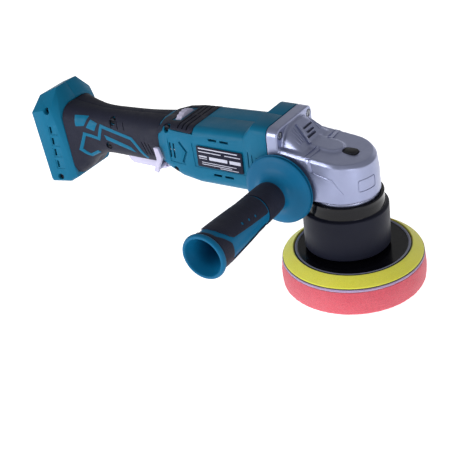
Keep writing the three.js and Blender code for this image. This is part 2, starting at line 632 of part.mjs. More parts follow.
function bevelWheel() {
  const share = FACE_WIDTH / Math.hypot(WHEEL_R, PINION_R);
  const [back, outer, inner] = gearBand(WHEEL_TEETH, WHEEL_R, PINION_R, share, TOOTH_DEPTH / 2, WHEEL_THICK);
  const teeth = loft([back, outer, inner]).rotate([180, 0, 0]).translate([0, 0, MOTOR_Z - TOOTH_GAP]);
  const bottom = MOTOR_Z - TOOTH_GAP - PINION_R - WHEEL_THICK;
  const pocket = cylinder(WHEEL_R * (1 - share) - 0.8, wheelTopZ() - 1.6, MOTOR_Z, 32);
  const holes = Array.from({ length: LOCK_HOLES }, (_, i) => {
    const angle = 2 * Math.PI * i / LOCK_HOLES;
    return cylinder(LOCK_HOLE_R, bottom - 1, MOTOR_Z, 12)
      .translate([LOCK_CIRCLE_R * Math.cos(angle), LOCK_CIRCLE_R * Math.sin(angle), 0]);
  });
  return teeth.subtract(pocket).subtract(union(holes)).subtract(cylinder(SPINDLE_R + GAP, 80, MOTOR_Z, 24));
}

function bevelPinion() {
  const share = FACE_WIDTH / Math.hypot(WHEEL_R, PINION_R);
  const [back, outer, inner] = gearBand(PINION_TEETH, PINION_R, WHEEL_R, share, TOOTH_DEPTH / 2, 6);
  const half = Math.PI / PINION_TEETH;
  return alongX(loft([back, outer, inner]).rotate([0, 180, 180 * half / Math.PI]), 0, 0, MOTOR_Z)
    .subtract(alongX(cylinder(SHAFT_R - 1.2, -60, 0, 16), 0, 0, MOTOR_Z));
}

function spindle() {
  const seat = COVER_BOTTOM;
  const wheelBottom = wheelTopZ() - TOOTH_GAP - WHEEL_THICK;
  return turned([
    [0, HUB_TOP - 12], [SPINDLE_R - 1, HUB_TOP - 12], [SPINDLE_R - 1, HUB_TOP + GAP],
    [SPINDLE_R + 3, HUB_TOP + GAP], [SPINDLE_R + 3, seat - 1], [SPINDLE_R, seat - 1],
    [SPINDLE_R, wheelBottom + 6], [UPPER_BEARING.bore, wheelBottom + 7],
    [UPPER_BEARING.bore, UPPER_SEAT_TOP - GAP], [0, UPPER_SEAT_TOP - GAP],
  ], 24);
}

// The eccentric hub: bored on the pad axis for its bearing, with the balance weight opposite.
function eccentricHub() {
  const boss = cylinder(HUB_R, HUB_BOTTOM, HUB_TOP, 32);
  const outline = Array.from({ length: 13 }, (_, i) => {
    const angle = Math.PI / 2 + Math.PI * i / 12;
    return [WEIGHT_R * Math.cos(angle), WEIGHT_R * Math.sin(angle)];
  });
  const weight = plate(outline, HUB_BOTTOM + 4, HUB_BOTTOM + 18);
  const seat = cylinder(PAD_BEARING.outer + GAP, HUB_BOTTOM - 1, HUB_BOTTOM + 2 * PAD_BEARING.height + 1, 28)
    .translate([THROW, 0, 0]);
  const socket = cylinder(SPINDLE_R - 1 + GAP, HUB_TOP - 12.5, HUB_TOP + 1, 24);
  return boss.add(weight).subtract(seat).subtract(socket);
}

function rotorShaft() {
  const tip = -WHEEL_R - 6 + 8;
  return alongX(turned([
    [0, CAN_REAR - 20], [SHAFT_R, CAN_REAR - 20], [SHAFT_R, -WHEEL_R - 6 - GAP],
    [SHAFT_R - 1.5, -WHEEL_R - 6 - GAP], [SHAFT_R - 1.5, tip], [0, tip],
  ], 20), 0, 0, MOTOR_Z);
}

const rotorR = () => CAN_R - CAN_WALL - GAP - MAGNET_THICK - AIR_GAP;

// Laminated core with slots, and the end turns of its windings at each end.
function woundRotor() {
  const slots = 8;
  const core = tube(SHAFT_R + GAP, rotorR(), CAN_REAR + 5, CAN_FRONT - 5, 32);
  const cutters = Array.from({ length: slots }, (_, i) => box(rotorR() - 6, rotorR() + 2, -1, 1, -200, 0)
    .rotate([0, 0, 360 * i / slots]));
  const endTurns = tube(SHAFT_R + GAP, rotorR() - 3, CAN_REAR + 0.5, CAN_FRONT + 2, 20);
  return alongX(core.subtract(union(cutters)).add(endTurns), 0, 0, MOTOR_Z);
}

function commutator() {
  const bars = 10;
  const drum = tube(SHAFT_R + GAP, COMMUTATOR_R, CAN_REAR - 13, CAN_REAR - 1, 20);
  const cuts = Array.from({ length: bars }, (_, i) => box(COMMUTATOR_R - 0.8, COMMUTATOR_R + 1, -0.3, 0.3,
    CAN_REAR - 14, CAN_REAR - 2.5).rotate([0, 0, 360 * i / bars]));
  return alongX(drum.subtract(union(cuts)), 0, 0, MOTOR_Z);
}

function coolingFan() {
  const [x0, x1] = [CAN_FRONT + 3, CAN_FRONT + 12];
  const hub = tube(SHAFT_R + GAP, 9, x0, x1, 20).add(tube(8, CAN_R - 2, x0, x0 + 1.6, 32));
  const blades = Array.from({ length: 9 }, (_, i) => box(8, CAN_R - 3, -0.7, 0.7, x0 + 1, x1)
    .rotate([0, 0, 40 * i]));
  return alongX(hub.add(union(blades)), 0, 0, MOTOR_Z);
}

function motorCan() {
  return alongX(tube(CAN_R - CAN_WALL, CAN_R, CAN_REAR, CAN_FRONT, 32), 0, 0, MOTOR_Z);
}

function magnet(side) {
  const outer = CAN_R - CAN_WALL - GAP;
  const arc = (r, from, to) => Array.from({ length: 9 }, (_, i) => {
    const angle = from + (to - from) * i / 8;
    return [r * Math.cos(angle), r * Math.sin(angle)];
  });
  const reach = 1.15;
  const turn = side < 0 ? Math.PI : 0;
  const outline = [
    ...arc(outer, turn - reach, turn + reach), ...arc(outer - MAGNET_THICK, turn + reach, turn - reach),
  ];
  return alongX(plate(outline, CAN_REAR + 3, CAN_FRONT - 3), 0, 0, MOTOR_Z);
}

function brushHolder(side) {
  const [x0, x1] = [CAN_REAR - 11, CAN_REAR - 3];
  const [y0, y1] = [COMMUTATOR_R + 1.5, COMMUTATOR_R + 12];
  const shell = box(x0, x1, y0, y1, MOTOR_Z - 4, MOTOR_Z + 4)
    .subtract(box(x0 + 1.2, x1 - 1.2, y0 - 1, y1 + 1, MOTOR_Z - 2.8, MOTOR_Z + 2.8));
  return side < 0 ? shell.mirror([0, 1, 0]) : shell;
}

function brush(side) {
  const [x0, x1] = [CAN_REAR - 11 + 1.2 + GAP, CAN_REAR - 3 - 1.2 - GAP];
  const block = box(x0, x1, COMMUTATOR_R + GAP, COMMUTATOR_R + 9, MOTOR_Z - 2.5, MOTOR_Z + 2.5);
  return side < 0 ? block.mirror([0, 1, 0]) : block;
}

// ================================================================ shroud, plate and pad

function shroud() {
  const top = COVER_BOTTOM - GAP;
  const w = SHROUD_WALL;
  return turned([
    [SHROUD_R - w, SHROUD_BOTTOM], [SHROUD_R, SHROUD_BOTTOM], [SHROUD_R - 0.3, SHROUD_STEP],
    [SHROUD_R - 2.2, SHROUD_STEP + 1], [CASE_R + 2.6, CASE_BOTTOM - 2.2], [CASE_R - 0.9, CASE_BOTTOM - 2.2],
    [CASE_R - 0.9, top], [LOWER_BEARING.outer + 6, top], [LOWER_BEARING.outer + 6, top - w],
    [CASE_R - 0.9, top - w], [SHROUD_R - w - 2.2, SHROUD_STEP - 1], [SHROUD_R - w - 0.3, SHROUD_STEP - 3],
  ], 32);
}

function foamPad() {
  return turned([[0, 0], [FOAM_R - 2.4, 0], [FOAM_R - 0.4, 2.6], [FOAM_R, FOAM_HEIGHT * 0.55],
    [FOAM_R - 0.6, FOAM_HEIGHT], [0, FOAM_HEIGHT]], 36).translate([THROW, 0, 0]);
}

function loopLayer() {
  return cylinder(RIM_R + 0.6, LOOP_Z, LOOP_Z + LOOP_HEIGHT, 36).translate([THROW, 0, 0]);
}

function rimCushion() {
  return turned([
    [0, RIM_Z], [RIM_R, RIM_Z], [RIM_R, RIM_Z + 0.9], [PLATE_R + GAP, RIM_Z + RIM_DROP],
    [PLATE_R + GAP, RIM_Z + CUSHION], [0, RIM_Z + CUSHION],
  ], 36).translate([THROW, 0, 0]);
}

function backingPlate() {
  const disc = turned([
    [0, PLATE_Z], [PLATE_R, PLATE_Z], [PLATE_R, PLATE_TOP - 0.8], [PLATE_R - 0.8, PLATE_TOP],
    [12, PLATE_TOP], [12, PLATE_TOP + 1.6], [0, PLATE_TOP + 1.6],
  ], 36);
  return disc.subtract(cylinder(3 + GAP, PLATE_Z + 1.5, PLATE_TOP + 3, 16)).translate([THROW, 0, 0]);
}

function padStub() {
  const foot = PLATE_TOP + 1.6 + GAP;
  const top = HUB_BOTTOM + 2 * PAD_BEARING.height;
  return turned([
    [0, PLATE_Z + 2], [3, PLATE_Z + 2], [3, foot], [9, foot], [9, HUB_BOTTOM - 2.4],
    [PAD_BEARING.bore, HUB_BOTTOM - 2.4], [PAD_BEARING.bore, top], [0, top],
  ], 24).translate([THROW, 0, 0]);
}

function padBearing(level) {
  return bearing(PAD_BEARING, HUB_BOTTOM - 1 + level * (PAD_BEARING.height + GAP)).translate([THROW, 0, 0]);
}

// ================================================================ controls

function paddle() {
  const outline = [[PADDLE.rear, PADDLE.top], [PADDLE.rear + 2, PADDLE.bottom + 2.5],
    [PADDLE.rear + 6, PADDLE.bottom], [PADDLE.front - 9, PADDLE.bottom], [PADDLE.front, PADDLE.bottom + 5],
    [PADDLE.front, PADDLE.hingeZ + 2.5], [PADDLE.front - 5, PADDLE.hingeZ + 2.5],
    [PADDLE.front - 8, PADDLE.top]];
  const bar = alongY(plate(outline.map(([x, z]) => [x, -z]), -PADDLE.half, PADDLE.half));
  return bar
    .subtract(alongY(cylinder(PADDLE_PIN_R + GAP, -OPEN_END, OPEN_END, 14), PADDLE.hingeX, 0, PADDLE.hingeZ))
    .subtract(box(LEVER.x - 6, LEVER.x + 2.4 + SLIDE, -OPEN_END, 8, LEVER.z - 2.4 - SLIDE, PADDLE.hingeZ + 9));
}

function paddlePin() {
  return alongY(cylinder(PADDLE_PIN_R, -PADDLE.half - 3, PADDLE.half + 3, 14), PADDLE.hingeX, 0, PADDLE.hingeZ);
}

// The lock-off lever: a barrel across the paddle with a thumb tab beside the grip.
function lockOffLever() {
  const barrel = alongY(cylinder(LEVER.barrel, LEVER.tabIn, 7.4, 14), LEVER.x, 0, LEVER.z);
  const outline = [[2, -3], [3.6, 2], [8.9, 13.4], [5.5, 23.2], [0.8, 22.9], [2.8, 11.6], [-2.4, -1.5]];
  const tab = alongY(plate(outline.map(([x, z]) => [LEVER.x + x, -LEVER.z - z]),
    LEVER.tabIn - LEVER.tabThick, LEVER.tabIn + 0.2));
  return barrel.add(tab);
}

function switchBody() {
  return box(SWITCH.rear, SWITCH.front, -SWITCH.half, SWITCH.half, SWITCH.bottom, SWITCH.top)
    .subtract(box(PLUNGER.x - PLUNGER.half - SLIDE, PLUNGER.x + PLUNGER.half + SLIDE,
      -PLUNGER.half - SLIDE, PLUNGER.half + SLIDE, SWITCH.bottom - 1, SWITCH.bottom + 9));
}

function switchPlunger() {
  return box(PLUNGER.x - PLUNGER.half, PLUNGER.x + PLUNGER.half, -PLUNGER.half, PLUNGER.half,
    PADDLE.top + GAP, SWITCH.bottom + 9 - PLUNGER.rise - SLIDE);
}

function speedDial() {
  const teeth = 24;
  const rim = Array.from({ length: teeth * 2 }, (_, i) => {
    const r = DIAL.r - (i % 2) * 0.7;
    return [r * Math.cos(Math.PI * i / teeth), r * Math.sin(Math.PI * i / teeth)];
  });
  return alongX(plate(rim, -DIAL.half, DIAL.half).subtract(cylinder(3, -9, 9, 16)), DIAL.x, 0, DIAL.z);
}

function dialPost() {
  return alongX(cylinder(3 - SLIDE, -DIAL.half, DIAL.half + 2, 14)
    .add(cylinder(7, DIAL.half + SLIDE, DIAL.half + 5, 16)), DIAL.x, 0, DIAL.z);
}

function controlBoard() {
  const { rear, front, half, z } = BOARD;
  const sinkRear = rear + 8;
  const sink = box(sinkRear, front - 8, -half + 4, half - 4, z + 1, z + 6);
  const gaps = Array.from({ length: 4 }, (_, i) => box(sinkRear + 3 + 7 * i, sinkRear + 6 + 7 * i,
    -half, half, z + 3, z + 7));
  return box(rear, front, -half, half, z, z + 1.6).add(sink.subtract(union(gaps)));
}

// The block that meets the battery's contacts, with its two power blades and a signal blade.
function terminalBlock() {
  const face = FOOT_REAR + BAY.depth + GAP;
  const block = box(face, FOOT_FRONT - 5, -BLOCK.half, BLOCK.half, BLOCK.bottom, BLOCK.top);
  const blades = [-12, 3, 12].map((y) => box(face - BLOCK.blade, face + 1, y - 0.5, y + 0.5,
    BLOCK.bottom + 4, BLOCK.top - 6));
  return onFoot(block.add(union(blades)));
}

// ================================================================ side handle

// The cores and grip are made along +Z from the guard outwards, then turned towards -Y.
function towardsSide(body) {
  return body.rotate([90, 0, 0]).translate([SIDE.x, 0, SIDE.z]);
}

function guardRing() {
  const z0 = SIDE.boss + GAP;
  const z1 = z0 + RING_THICK;
  return towardsSide(turned([
    [STUD_R + GAP, z0], [RING_R - 6, z0], [RING_R, z0 + 1.2], [RING_R, z1], [STUD_R + GAP, z1],
  ], 36));
}

function sideHandleCore() {
  const z0 = SIDE.boss + RING_THICK + 2 * GAP;
  const face = -SIDE.guardFront;
  const end = -SIDE.end;
  const floor = face + 26;
  return towardsSide(turned([
    [STUD_R + GAP, z0], [GUARD_R - 3, z0], [GUARD_R, z0 + 1.4], [GUARD_R - 0.4, face - 0.6],
    [GUARD_R - 3, face + 0.6], [20, face + 2.2], [15, face + 5.5], [SIDE_CORE_R, face + 9],
    [SIDE_CORE_R, end - 12], [18, end - 9.5], [SIDE_END_R, end - 3.5], [SIDE_END_R - 0.8, end - 0.8],
    [SIDE_END_R - 2.2, end], [SIDE_END_R - 4, end - 1.4],
    [SIDE_HOLLOW_R + 3, end - 8], [SIDE_HOLLOW_R, end - 14],
    [SIDE_HOLLOW_R, floor], [STUD_R + GAP, floor],
  ], 32));
}

function sideHandleGrip() {
  const face = -SIDE.guardFront;
  const end = -SIDE.end;
  const inner = SIDE_CORE_R + GAP;
  return towardsSide(turned([
    [inner, face + 10], [14.6, face + 10.6], [15, face + 22], [15.1, face + 50], [16.2, face + 64],
    [17.8, end - 24], [17.6, end - 12.4], [inner, end - 12.4],
  ], 32));
}

function sideHandleStud() {
  const inner = SIDE.boss - STUD_DEPTH;
  const nut = -SIDE.guardFront + 26 + GAP;
  return towardsSide(turned([[0, inner], [STUD_R - 1, inner], [STUD_R, inner + 1], [STUD_R, nut],
    [6.5, nut], [6.5, nut + 5], [0, nut + 5]], 20));
}

function ratingLabel() {
  const inner = -BODY_HALF - GAP;
  return box(LABEL.rear, LABEL.front, inner - LABEL.thick, inner, LABEL.low, LABEL.high);
}

// ================================================================ assembly

const COLOURS = {
  teal: { color: 0x1a6a86, roughness: 0.45, metalness: 0 },
  rubber: { color: 0x26262f, roughness: 0.8, metalness: 0 },
  silver: { color: 0x9fa3b0, roughness: 0.35, metalness: 0.9 },
  steel: { color: 0x8c8f94, roughness: 0.3, metalness: 1 },
  black: { color: 0x1b1c22, roughness: 0.5, metalness: 0 },
  yellow: { color: 0xd6d84e, roughness: 0.6, metalness: 0 },
  lavender: { color: 0xb9a6c8, roughness: 0.9, metalness: 0 },
  foam: { color: 0xe5697a, roughness: 0.95, metalness: 0 },
  light: { color: 0xc4c0dc, roughness: 0.5, metalness: 0 },
  copper: { color: 0xb8734a, roughness: 0.4, metalness: 1 },
  brass: { color: 0xc9a64a, roughness: 0.35, metalness: 1 },
  iron: { color: 0x55565c, roughness: 0.6, metalness: 0.8 },
  board: { color: 0x1f6b3a, roughness: 0.6, metalness: 0 },
};

const polisher = new THREE.Group();

function addPart(name, body, look) {
  const mesh = new THREE.Mesh(geometryOf(body), new THREE.MeshStandardMaterial(COLOURS[look]));
  mesh.name = name;
  polisher.add(mesh);
}

const shell = housingShell();
const sides = [{ side: -1, word: 'left' }, { side: 1, word: 'right' }];

for (const { side, word } of sides) {
  addPart(`${word}_housing`, housingHalf(shell, side), 'teal');
  addPart(`${word}_grip_skin`, gripSkin(side), 'rubber');
  addPart(`${word}_collar_skin`, collarSkin(side), 'rubber');
  addPart(`${word}_magnet`, magnet(side), 'iron');
  addPart(`${word}_brush_holder`, brushHolder(side), 'brass');
  addPart(`${word}_brush`, brush(side), 'black');
}
for (const screw of BODY_SCREWS) addPart(`housing_screw_${screw.name}`, bodyScrew(screw), 'steel');
flangeCorners().forEach((corner, i) => addPart(`flange_screw_${i + 1}`, flangeScrew(corner), 'steel'));
addPart('rating_label', ratingLabel(), 'black');
addPart('gear_case', gearCase(), 'silver');
addPart('bearing_cover', bearingCover(), 'silver');
addPart('drive_shroud', shroud(), 'rubber');
addPart('lower_spindle_bearing', bearing(LOWER_BEARING, COVER_BOTTOM - GAP), 'steel');
addPart('upper_spindle_bearing', bearing(UPPER_BEARING, UPPER_SEAT_TOP - UPPER_BEARING.height - GAP), 'steel');
addPart('front_motor_bearing', alongX(bearing(FRONT_BEARING, CASE_REAR - 2.4), 0, 0, MOTOR_Z), 'steel');
addPart('rear_motor_bearing', alongX(bearing(REAR_BEARING, CAN_REAR - 20), 0, 0, MOTOR_Z), 'steel');
addPart('motor_can', motorCan(), 'iron');
addPart('terminal_block', terminalBlock(), 'black');
addPart('control_board', controlBoard(), 'board');
addPart('switch_body', switchBody(), 'black');
addPart('paddle_pin', paddlePin(), 'steel');
addPart('dial_post', dialPost(), 'black');

addPart('rotor_shaft', rotorShaft(), 'steel');
addPart('wound_rotor', woundRotor(), 'copper');
addPart('commutator', commutator(), 'copper');
addPart('cooling_fan', coolingFan(), 'black');
addPart('bevel_pinion', bevelPinion(), 'steel');

addPart('spindle', spindle(), 'steel');
addPart('bevel_wheel', bevelWheel(), 'steel');
addPart('eccentric_hub', eccentricHub(), 'iron');

addPart('upper_pad_bearing', padBearing(1), 'steel');
addPart('lower_pad_bearing', padBearing(0), 'steel');
addPart('pad_stub', padStub(), 'steel');
addPart('backing_plate', backingPlate(), 'black');
addPart('rim_cushion', rimCushion(), 'yellow');
addPart('loop_layer', loopLayer(), 'lavender');
addPart('foam_pad', foamPad(), 'foam');

addPart('lock_button', lockButton(), 'black');
addPart('switch_paddle', paddle(), 'light');
addPart('lock_off_lever', lockOffLever(), 'light');
addPart('switch_plunger', switchPlunger(), 'black');
addPart('speed_dial', speedDial(), 'light');
addPart('guard_ring', guardRing(), 'teal');
addPart('side_handle_core', sideHandleCore(), 'teal');
addPart('side_handle_grip', sideHandleGrip(), 'rubber');
addPart('side_handle_stud', sideHandleStud(), 'steel');

export default polisher;
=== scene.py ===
"""Looks for the dual action polisher: housing, grips, gear case, drive shroud, pad and side handle.

Metres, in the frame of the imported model: +Z up along the spindle, +X to the nose, side handle towards -Y.
"""
import json
import math

import bmesh
import bpy
import numpy as np
from mathutils import Matrix, Vector, noise
from mathutils.bvhtree import BVHTree


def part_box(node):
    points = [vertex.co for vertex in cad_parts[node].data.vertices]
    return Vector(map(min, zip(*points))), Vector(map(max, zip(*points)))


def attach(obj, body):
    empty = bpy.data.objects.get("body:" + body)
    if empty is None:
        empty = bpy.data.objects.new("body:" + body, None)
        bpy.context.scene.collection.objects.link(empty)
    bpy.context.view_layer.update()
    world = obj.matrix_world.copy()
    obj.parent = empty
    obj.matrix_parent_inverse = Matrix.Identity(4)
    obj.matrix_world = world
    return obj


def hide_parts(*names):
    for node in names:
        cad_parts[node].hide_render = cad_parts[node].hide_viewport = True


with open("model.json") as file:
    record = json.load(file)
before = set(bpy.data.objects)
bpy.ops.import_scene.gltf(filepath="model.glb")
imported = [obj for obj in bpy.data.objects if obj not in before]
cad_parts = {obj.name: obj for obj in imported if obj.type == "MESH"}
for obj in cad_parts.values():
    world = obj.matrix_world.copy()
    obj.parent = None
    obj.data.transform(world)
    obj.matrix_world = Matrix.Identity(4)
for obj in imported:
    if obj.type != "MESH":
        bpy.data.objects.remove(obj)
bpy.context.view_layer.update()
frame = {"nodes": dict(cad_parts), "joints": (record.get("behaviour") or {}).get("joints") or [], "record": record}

MM = 0.001
CUT_RISE = 0.002          # how far a surface cutter stands out of the surface
CAST_FAR = 0.12           # where rays towards the body's side start
CAST_HIGH = 0.25          # and those from above
NODES = frame["nodes"]
JOINTS = {joint["name"]: joint for joint in frame["joints"]}
BODY_OF = {n: body for body, members in frame["record"]["behaviour"]["bodies"].items() for n in members}
SLOT_OF = {part["node"]: part["material_slot"] for part in frame["record"]["subparts"]}

# ---------------- places taken from the frame
PAD_CENTRE = Vector((JOINTS["pad_spin"]["pos_m"][0], 0, 0))
HANDLE_AXIS = Vector((0, -1, 0))
HANDLE_CENTRE = Vector(JOINTS["side_handle_screw"]["pos_m"])
HANDLE_CENTRE.y = 0
MOTOR_Z = JOINTS["motor_spin"]["pos_m"][2]
DIAL_X = JOINTS["speed_dial_turn"]["pos_m"][0]


def low(node):
    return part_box(node)[0]


def high(node):
    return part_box(node)[1]


def middle(node):
    return (low(node) + high(node)) / 2


# ---------------- mesh tools

def link(obj):
    bpy.context.scene.collection.objects.link(obj)
    return obj


def new_object(name, points, faces):
    mesh = bpy.data.meshes.new(name)
    mesh.from_pydata([tuple(p) for p in points], [], faces)
    return link(bpy.data.objects.new(name, mesh))


def edit(obj, change):
    """Runs change(bmesh) on an object's mesh."""
    bm = bmesh.new()
    bm.from_mesh(obj.data)
    change(bm)
    bm.to_mesh(obj.data)
    bm.free()
    return obj


def outwards(obj):
    return edit(obj, lambda bm: bmesh.ops.recalc_face_normals(bm, faces=bm.faces))


def weld(obj, distance=1e-6):
    def change(bm):
        bmesh.ops.remove_doubles(bm, verts=bm.verts, dist=distance)
        bmesh.ops.dissolve_degenerate(bm, edges=bm.edges, dist=distance)
    return edit(obj, change)


def applied(obj):
    """Puts the result of the modifiers in the mesh."""
    graph = bpy.context.evaluated_depsgraph_get()
    mesh = bpy.data.meshes.new_from_object(obj.evaluated_get(graph))
    obj.modifiers.clear()
    obj.data = mesh
    return obj


def combine(obj, tools, operation="DIFFERENCE"):
    """Cuts, joins or intersects obj with each tool, and removes the tools."""
    for tool in tools:
        step = obj.modifiers.new("combine", "BOOLEAN")
        step.object = tool
        step.operation = operation
        step.solver = "MANIFOLD"
        applied(obj)
        bpy.data.objects.remove(tool)
    return obj


def smooth(obj, angle=38):
    """Smooth shading, with edges sharper than the angle kept sharp."""
    obj.data.polygons.foreach_set("use_smooth", [True] * len(obj.data.polygons))
    obj.data.set_sharp_from_angle(angle=math.radians(angle))
    return obj


def rounded_edges(obj, width=0.0005, angle=38, segments=2):
    """Bevels the sharp edges. The bevel faces take the object's second material, a lighter copy that paints a
    highlight along the edges.
    """
    flat = math.radians(0.6)
    edit(obj, lambda bm: bmesh.ops.dissolve_limit(bm, angle_limit=flat, verts=bm.verts, edges=bm.edges))
    bevel = obj.modifiers.new("edges", "BEVEL")
    bevel.width = width
    bevel.segments = segments
    bevel.limit_method = "ANGLE"
    bevel.angle_limit = math.radians(angle)
    # the bevel faces take the lighter second material: a painted highlight along the edges
    bevel.material = 1 if len(obj.data.materials) > 1 else -1
    bevel.use_clamp_overlap = True
    applied(obj)
    return smooth(obj, angle)


def filleted(profile, steps=5):
    """Rounds the corners of a profile. Each entry is (u, v) or (u, v, radius)."""
    count = len(profile)
    out = []
    for i, entry in enumerate(profile):
        point = Vector(entry[:2])
        radius = entry[2] if len(entry) > 2 else 0
        if radius == 0:
            out.append(point)
            continue
        before = Vector(profile[i - 1][:2]) - point
        after = Vector(profile[(i + 1) % count][:2]) - point
        reach = min(radius, before.length * 0.48, after.length * 0.48)
        a = point + before.normalized() * reach
        b = point + after.normalized() * reach
        for k in range(steps + 1):
            t = k / steps
            out.append(a * (1 - t) ** 2 + point * 2 * t * (1 - t) + b * t ** 2)
    return out


def turned(name, profile, centre=Vector((0, 0, 0)), axis=Vector((0, 0, 1)), sides=128):
    """A closed solid of revolution from (radius, distance along the axis) points."""
    turn = Vector((0, 0, 1)).rotation_difference(axis).to_matrix()
    points = [centre + turn @ Vector((u, v, t)) for r, t in profile for u, v in circle(0, 0, r, sides)]
    rows = len(profile)
    faces = [(i * sides + k, i * sides + (k + 1) % sides, (i + 1) % rows * sides + (k + 1) % sides,
              (i + 1) % rows * sides + k) for i in range(rows) for k in range(sides)]
    return outwards(weld(new_object(name, points, faces)))


def prism(outline, start, end, place):
    """A closed prism. place(u, v, w) gives a point, with w running from start to end."""
    count = len(outline)
    points = [place(u, v, w) for w in (start, end) for u, v in outline]
    sides = [(i, (i + 1) % count, count + (i + 1) % count, count + i) for i in range(count)]
    ends = [tuple(range(count)), tuple(range(count, 2 * count))]
    return outwards(new_object("prism", points, ends + sides))


def block(x0, x1, y0, y1, z0, z1):
    return prism([(x0, y0), (x1, y0), (x1, y1), (x0, y1)], z0, z1, lambda u, v, w: (u, v, w))


def side_prism(outline, y0, y1):
    """A prism along Y with its outline in the XZ plane."""
    return prism(outline, y0, y1, lambda u, v, w: (u, w, v))


def rod(radius, start, end, sides=24):
    """A cylinder between two points."""
    axis = end - start
    profile = [(0, 0), (radius, 0), (radius, axis.length), (0, axis.length)]
    return turned("rod", profile, start, axis.normalized(), sides)


def circle(u, v, radius, sides=24):
    angles = [2 * math.pi * k / sides for k in range(sides)]
    return [(u + radius * math.cos(a), v + radius * math.sin(a)) for a in angles]


def rounded_box(u0, u1, v0, v1, radius, steps=4):
    corners = [(u, v, radius) for u, v in ((u0, v0), (u1, v0), (u1, v1), (u0, v1))]
    return [tuple(p) for p in filleted(corners, steps)]


def mm(outline):
    return [tuple(value * MM for value in entry) for entry in outline]


def ribbon(points, width):
    """The outline of a line of even width with mitred corners."""
    points = [Vector(p) for p in points]
    left, right = [], []
    for i, point in enumerate(points):
        before = (point - points[max(i - 1, 0)]).normalized() if i > 0 else None
        after = (points[min(i + 1, len(points) - 1)] - point).normalized() if i < len(points) - 1 else None
        along = ((before or after) + (after or before)).normalized()
        across = Vector((-along.y, along.x))
        straight = before or after
        mitre = 1 / max(abs(across.dot(Vector((-straight.y, straight.x)))), 0.4)
        left.append(point + across * width / 2 * mitre)
        right.append(point - across * width / 2 * mitre)
    return [tuple(p) for p in left + right[::-1]]


def draped(name, outline, place, step, raised, sunk, soft_edge=0.0):
    """A thin closed piece of the given outline that follows a surface.

    place(u, v) gives the surface point and its outward normal. The top lies raised above the surface
    and the bottom lies sunk below it.
    """
    bm = bmesh.new()
    face = bm.faces.new([bm.verts.new((u, v, 0)) for u, v in outline])
    bmesh.ops.triangulate(bm, faces=[face])
    for axis in (0, 1):
        values = [v.co[axis] for v in bm.verts]
        count = max(int((max(values) - min(values)) / step), 1)
        for k in range(1, count):
            at = min(values) + (max(values) - min(values)) * k / count
            normal = Vector((1, 0, 0)) if axis == 0 else Vector((0, 1, 0))
            bmesh.ops.bisect_plane(bm, geom=bm.verts[:] + bm.edges[:] + bm.faces[:], plane_co=normal * at,
                                   plane_no=normal)
    bmesh.ops.remove_doubles(bm, verts=bm.verts, dist=step * 0.02)
    rim = {v for e in bm.edges if e.is_boundary for v in e.verts}
    places = {v: place(v.co.x, v.co.y) for v in bm.verts}
    count = len(bm.verts)
    index = {v: i for i, v in enumerate(bm.verts)}
    tops = [places[v][0] + places[v][1] * (raised - (soft_edge if v in rim else 0)) for v in bm.verts]
    bottoms = [places[v][0] - places[v][1] * sunk for v in bm.verts]
    faces = [tuple(index[v] for v in f.verts) for f in bm.faces]
    faces += [tuple(index[v] + count for v in reversed(f.verts)) for f in bm.faces]
    for e in bm.edges:
        if e.is_boundary:
            a, b = (index[v] for v in e.verts)
            faces.append((a, b, b + count, a + count))
    bm.free()
    return outwards(new_object(name, tops + bottoms, faces))


def carve(outline, place, depth, step=0.003):
    """A cutter that goes to an even depth under a surface."""
    return draped("cut", outline, place, step, CUT_RISE, depth)


def surface_of(objects):
    """A tree for finding the points of these objects' surfaces."""
    points, faces = [], []
    for obj in objects:
        first = len(points)
        points += [v.co.copy() for v in obj.data.vertices]
        faces += [tuple(first + i for i in p.vertices) for p in obj.data.polygons]
    return BVHTree.FromPolygons(points, faces)


def from_side(tree, side):
    """Places XZ outlines on a surface seen along Y."""
    def place(x, z):
        hit, normal, _, _ = tree.ray_cast(Vector((x, side * CAST_FAR, z)), Vector((0, -side, 0)))
        if hit is None:
            hit, normal, _, _ = tree.find_nearest(Vector((x, side * CAST_FAR / 4, z)))
        return hit, (normal if normal.y * side > 0 else -normal)
    return place


def from_top(tree):
    """Places XY outlines on a surface seen from above."""
    def place(x, y):
        hit, normal, _, _ = tree.ray_cast(Vector((x, y, CAST_HIGH)), Vector((0, 0, -1)))
        if hit is None:
            hit, normal, _, _ = tree.find_nearest(Vector((x, y, CAST_HIGH / 2)))
        return hit, (normal if normal.z > 0 else -normal)
    return place


# ---------------- materials

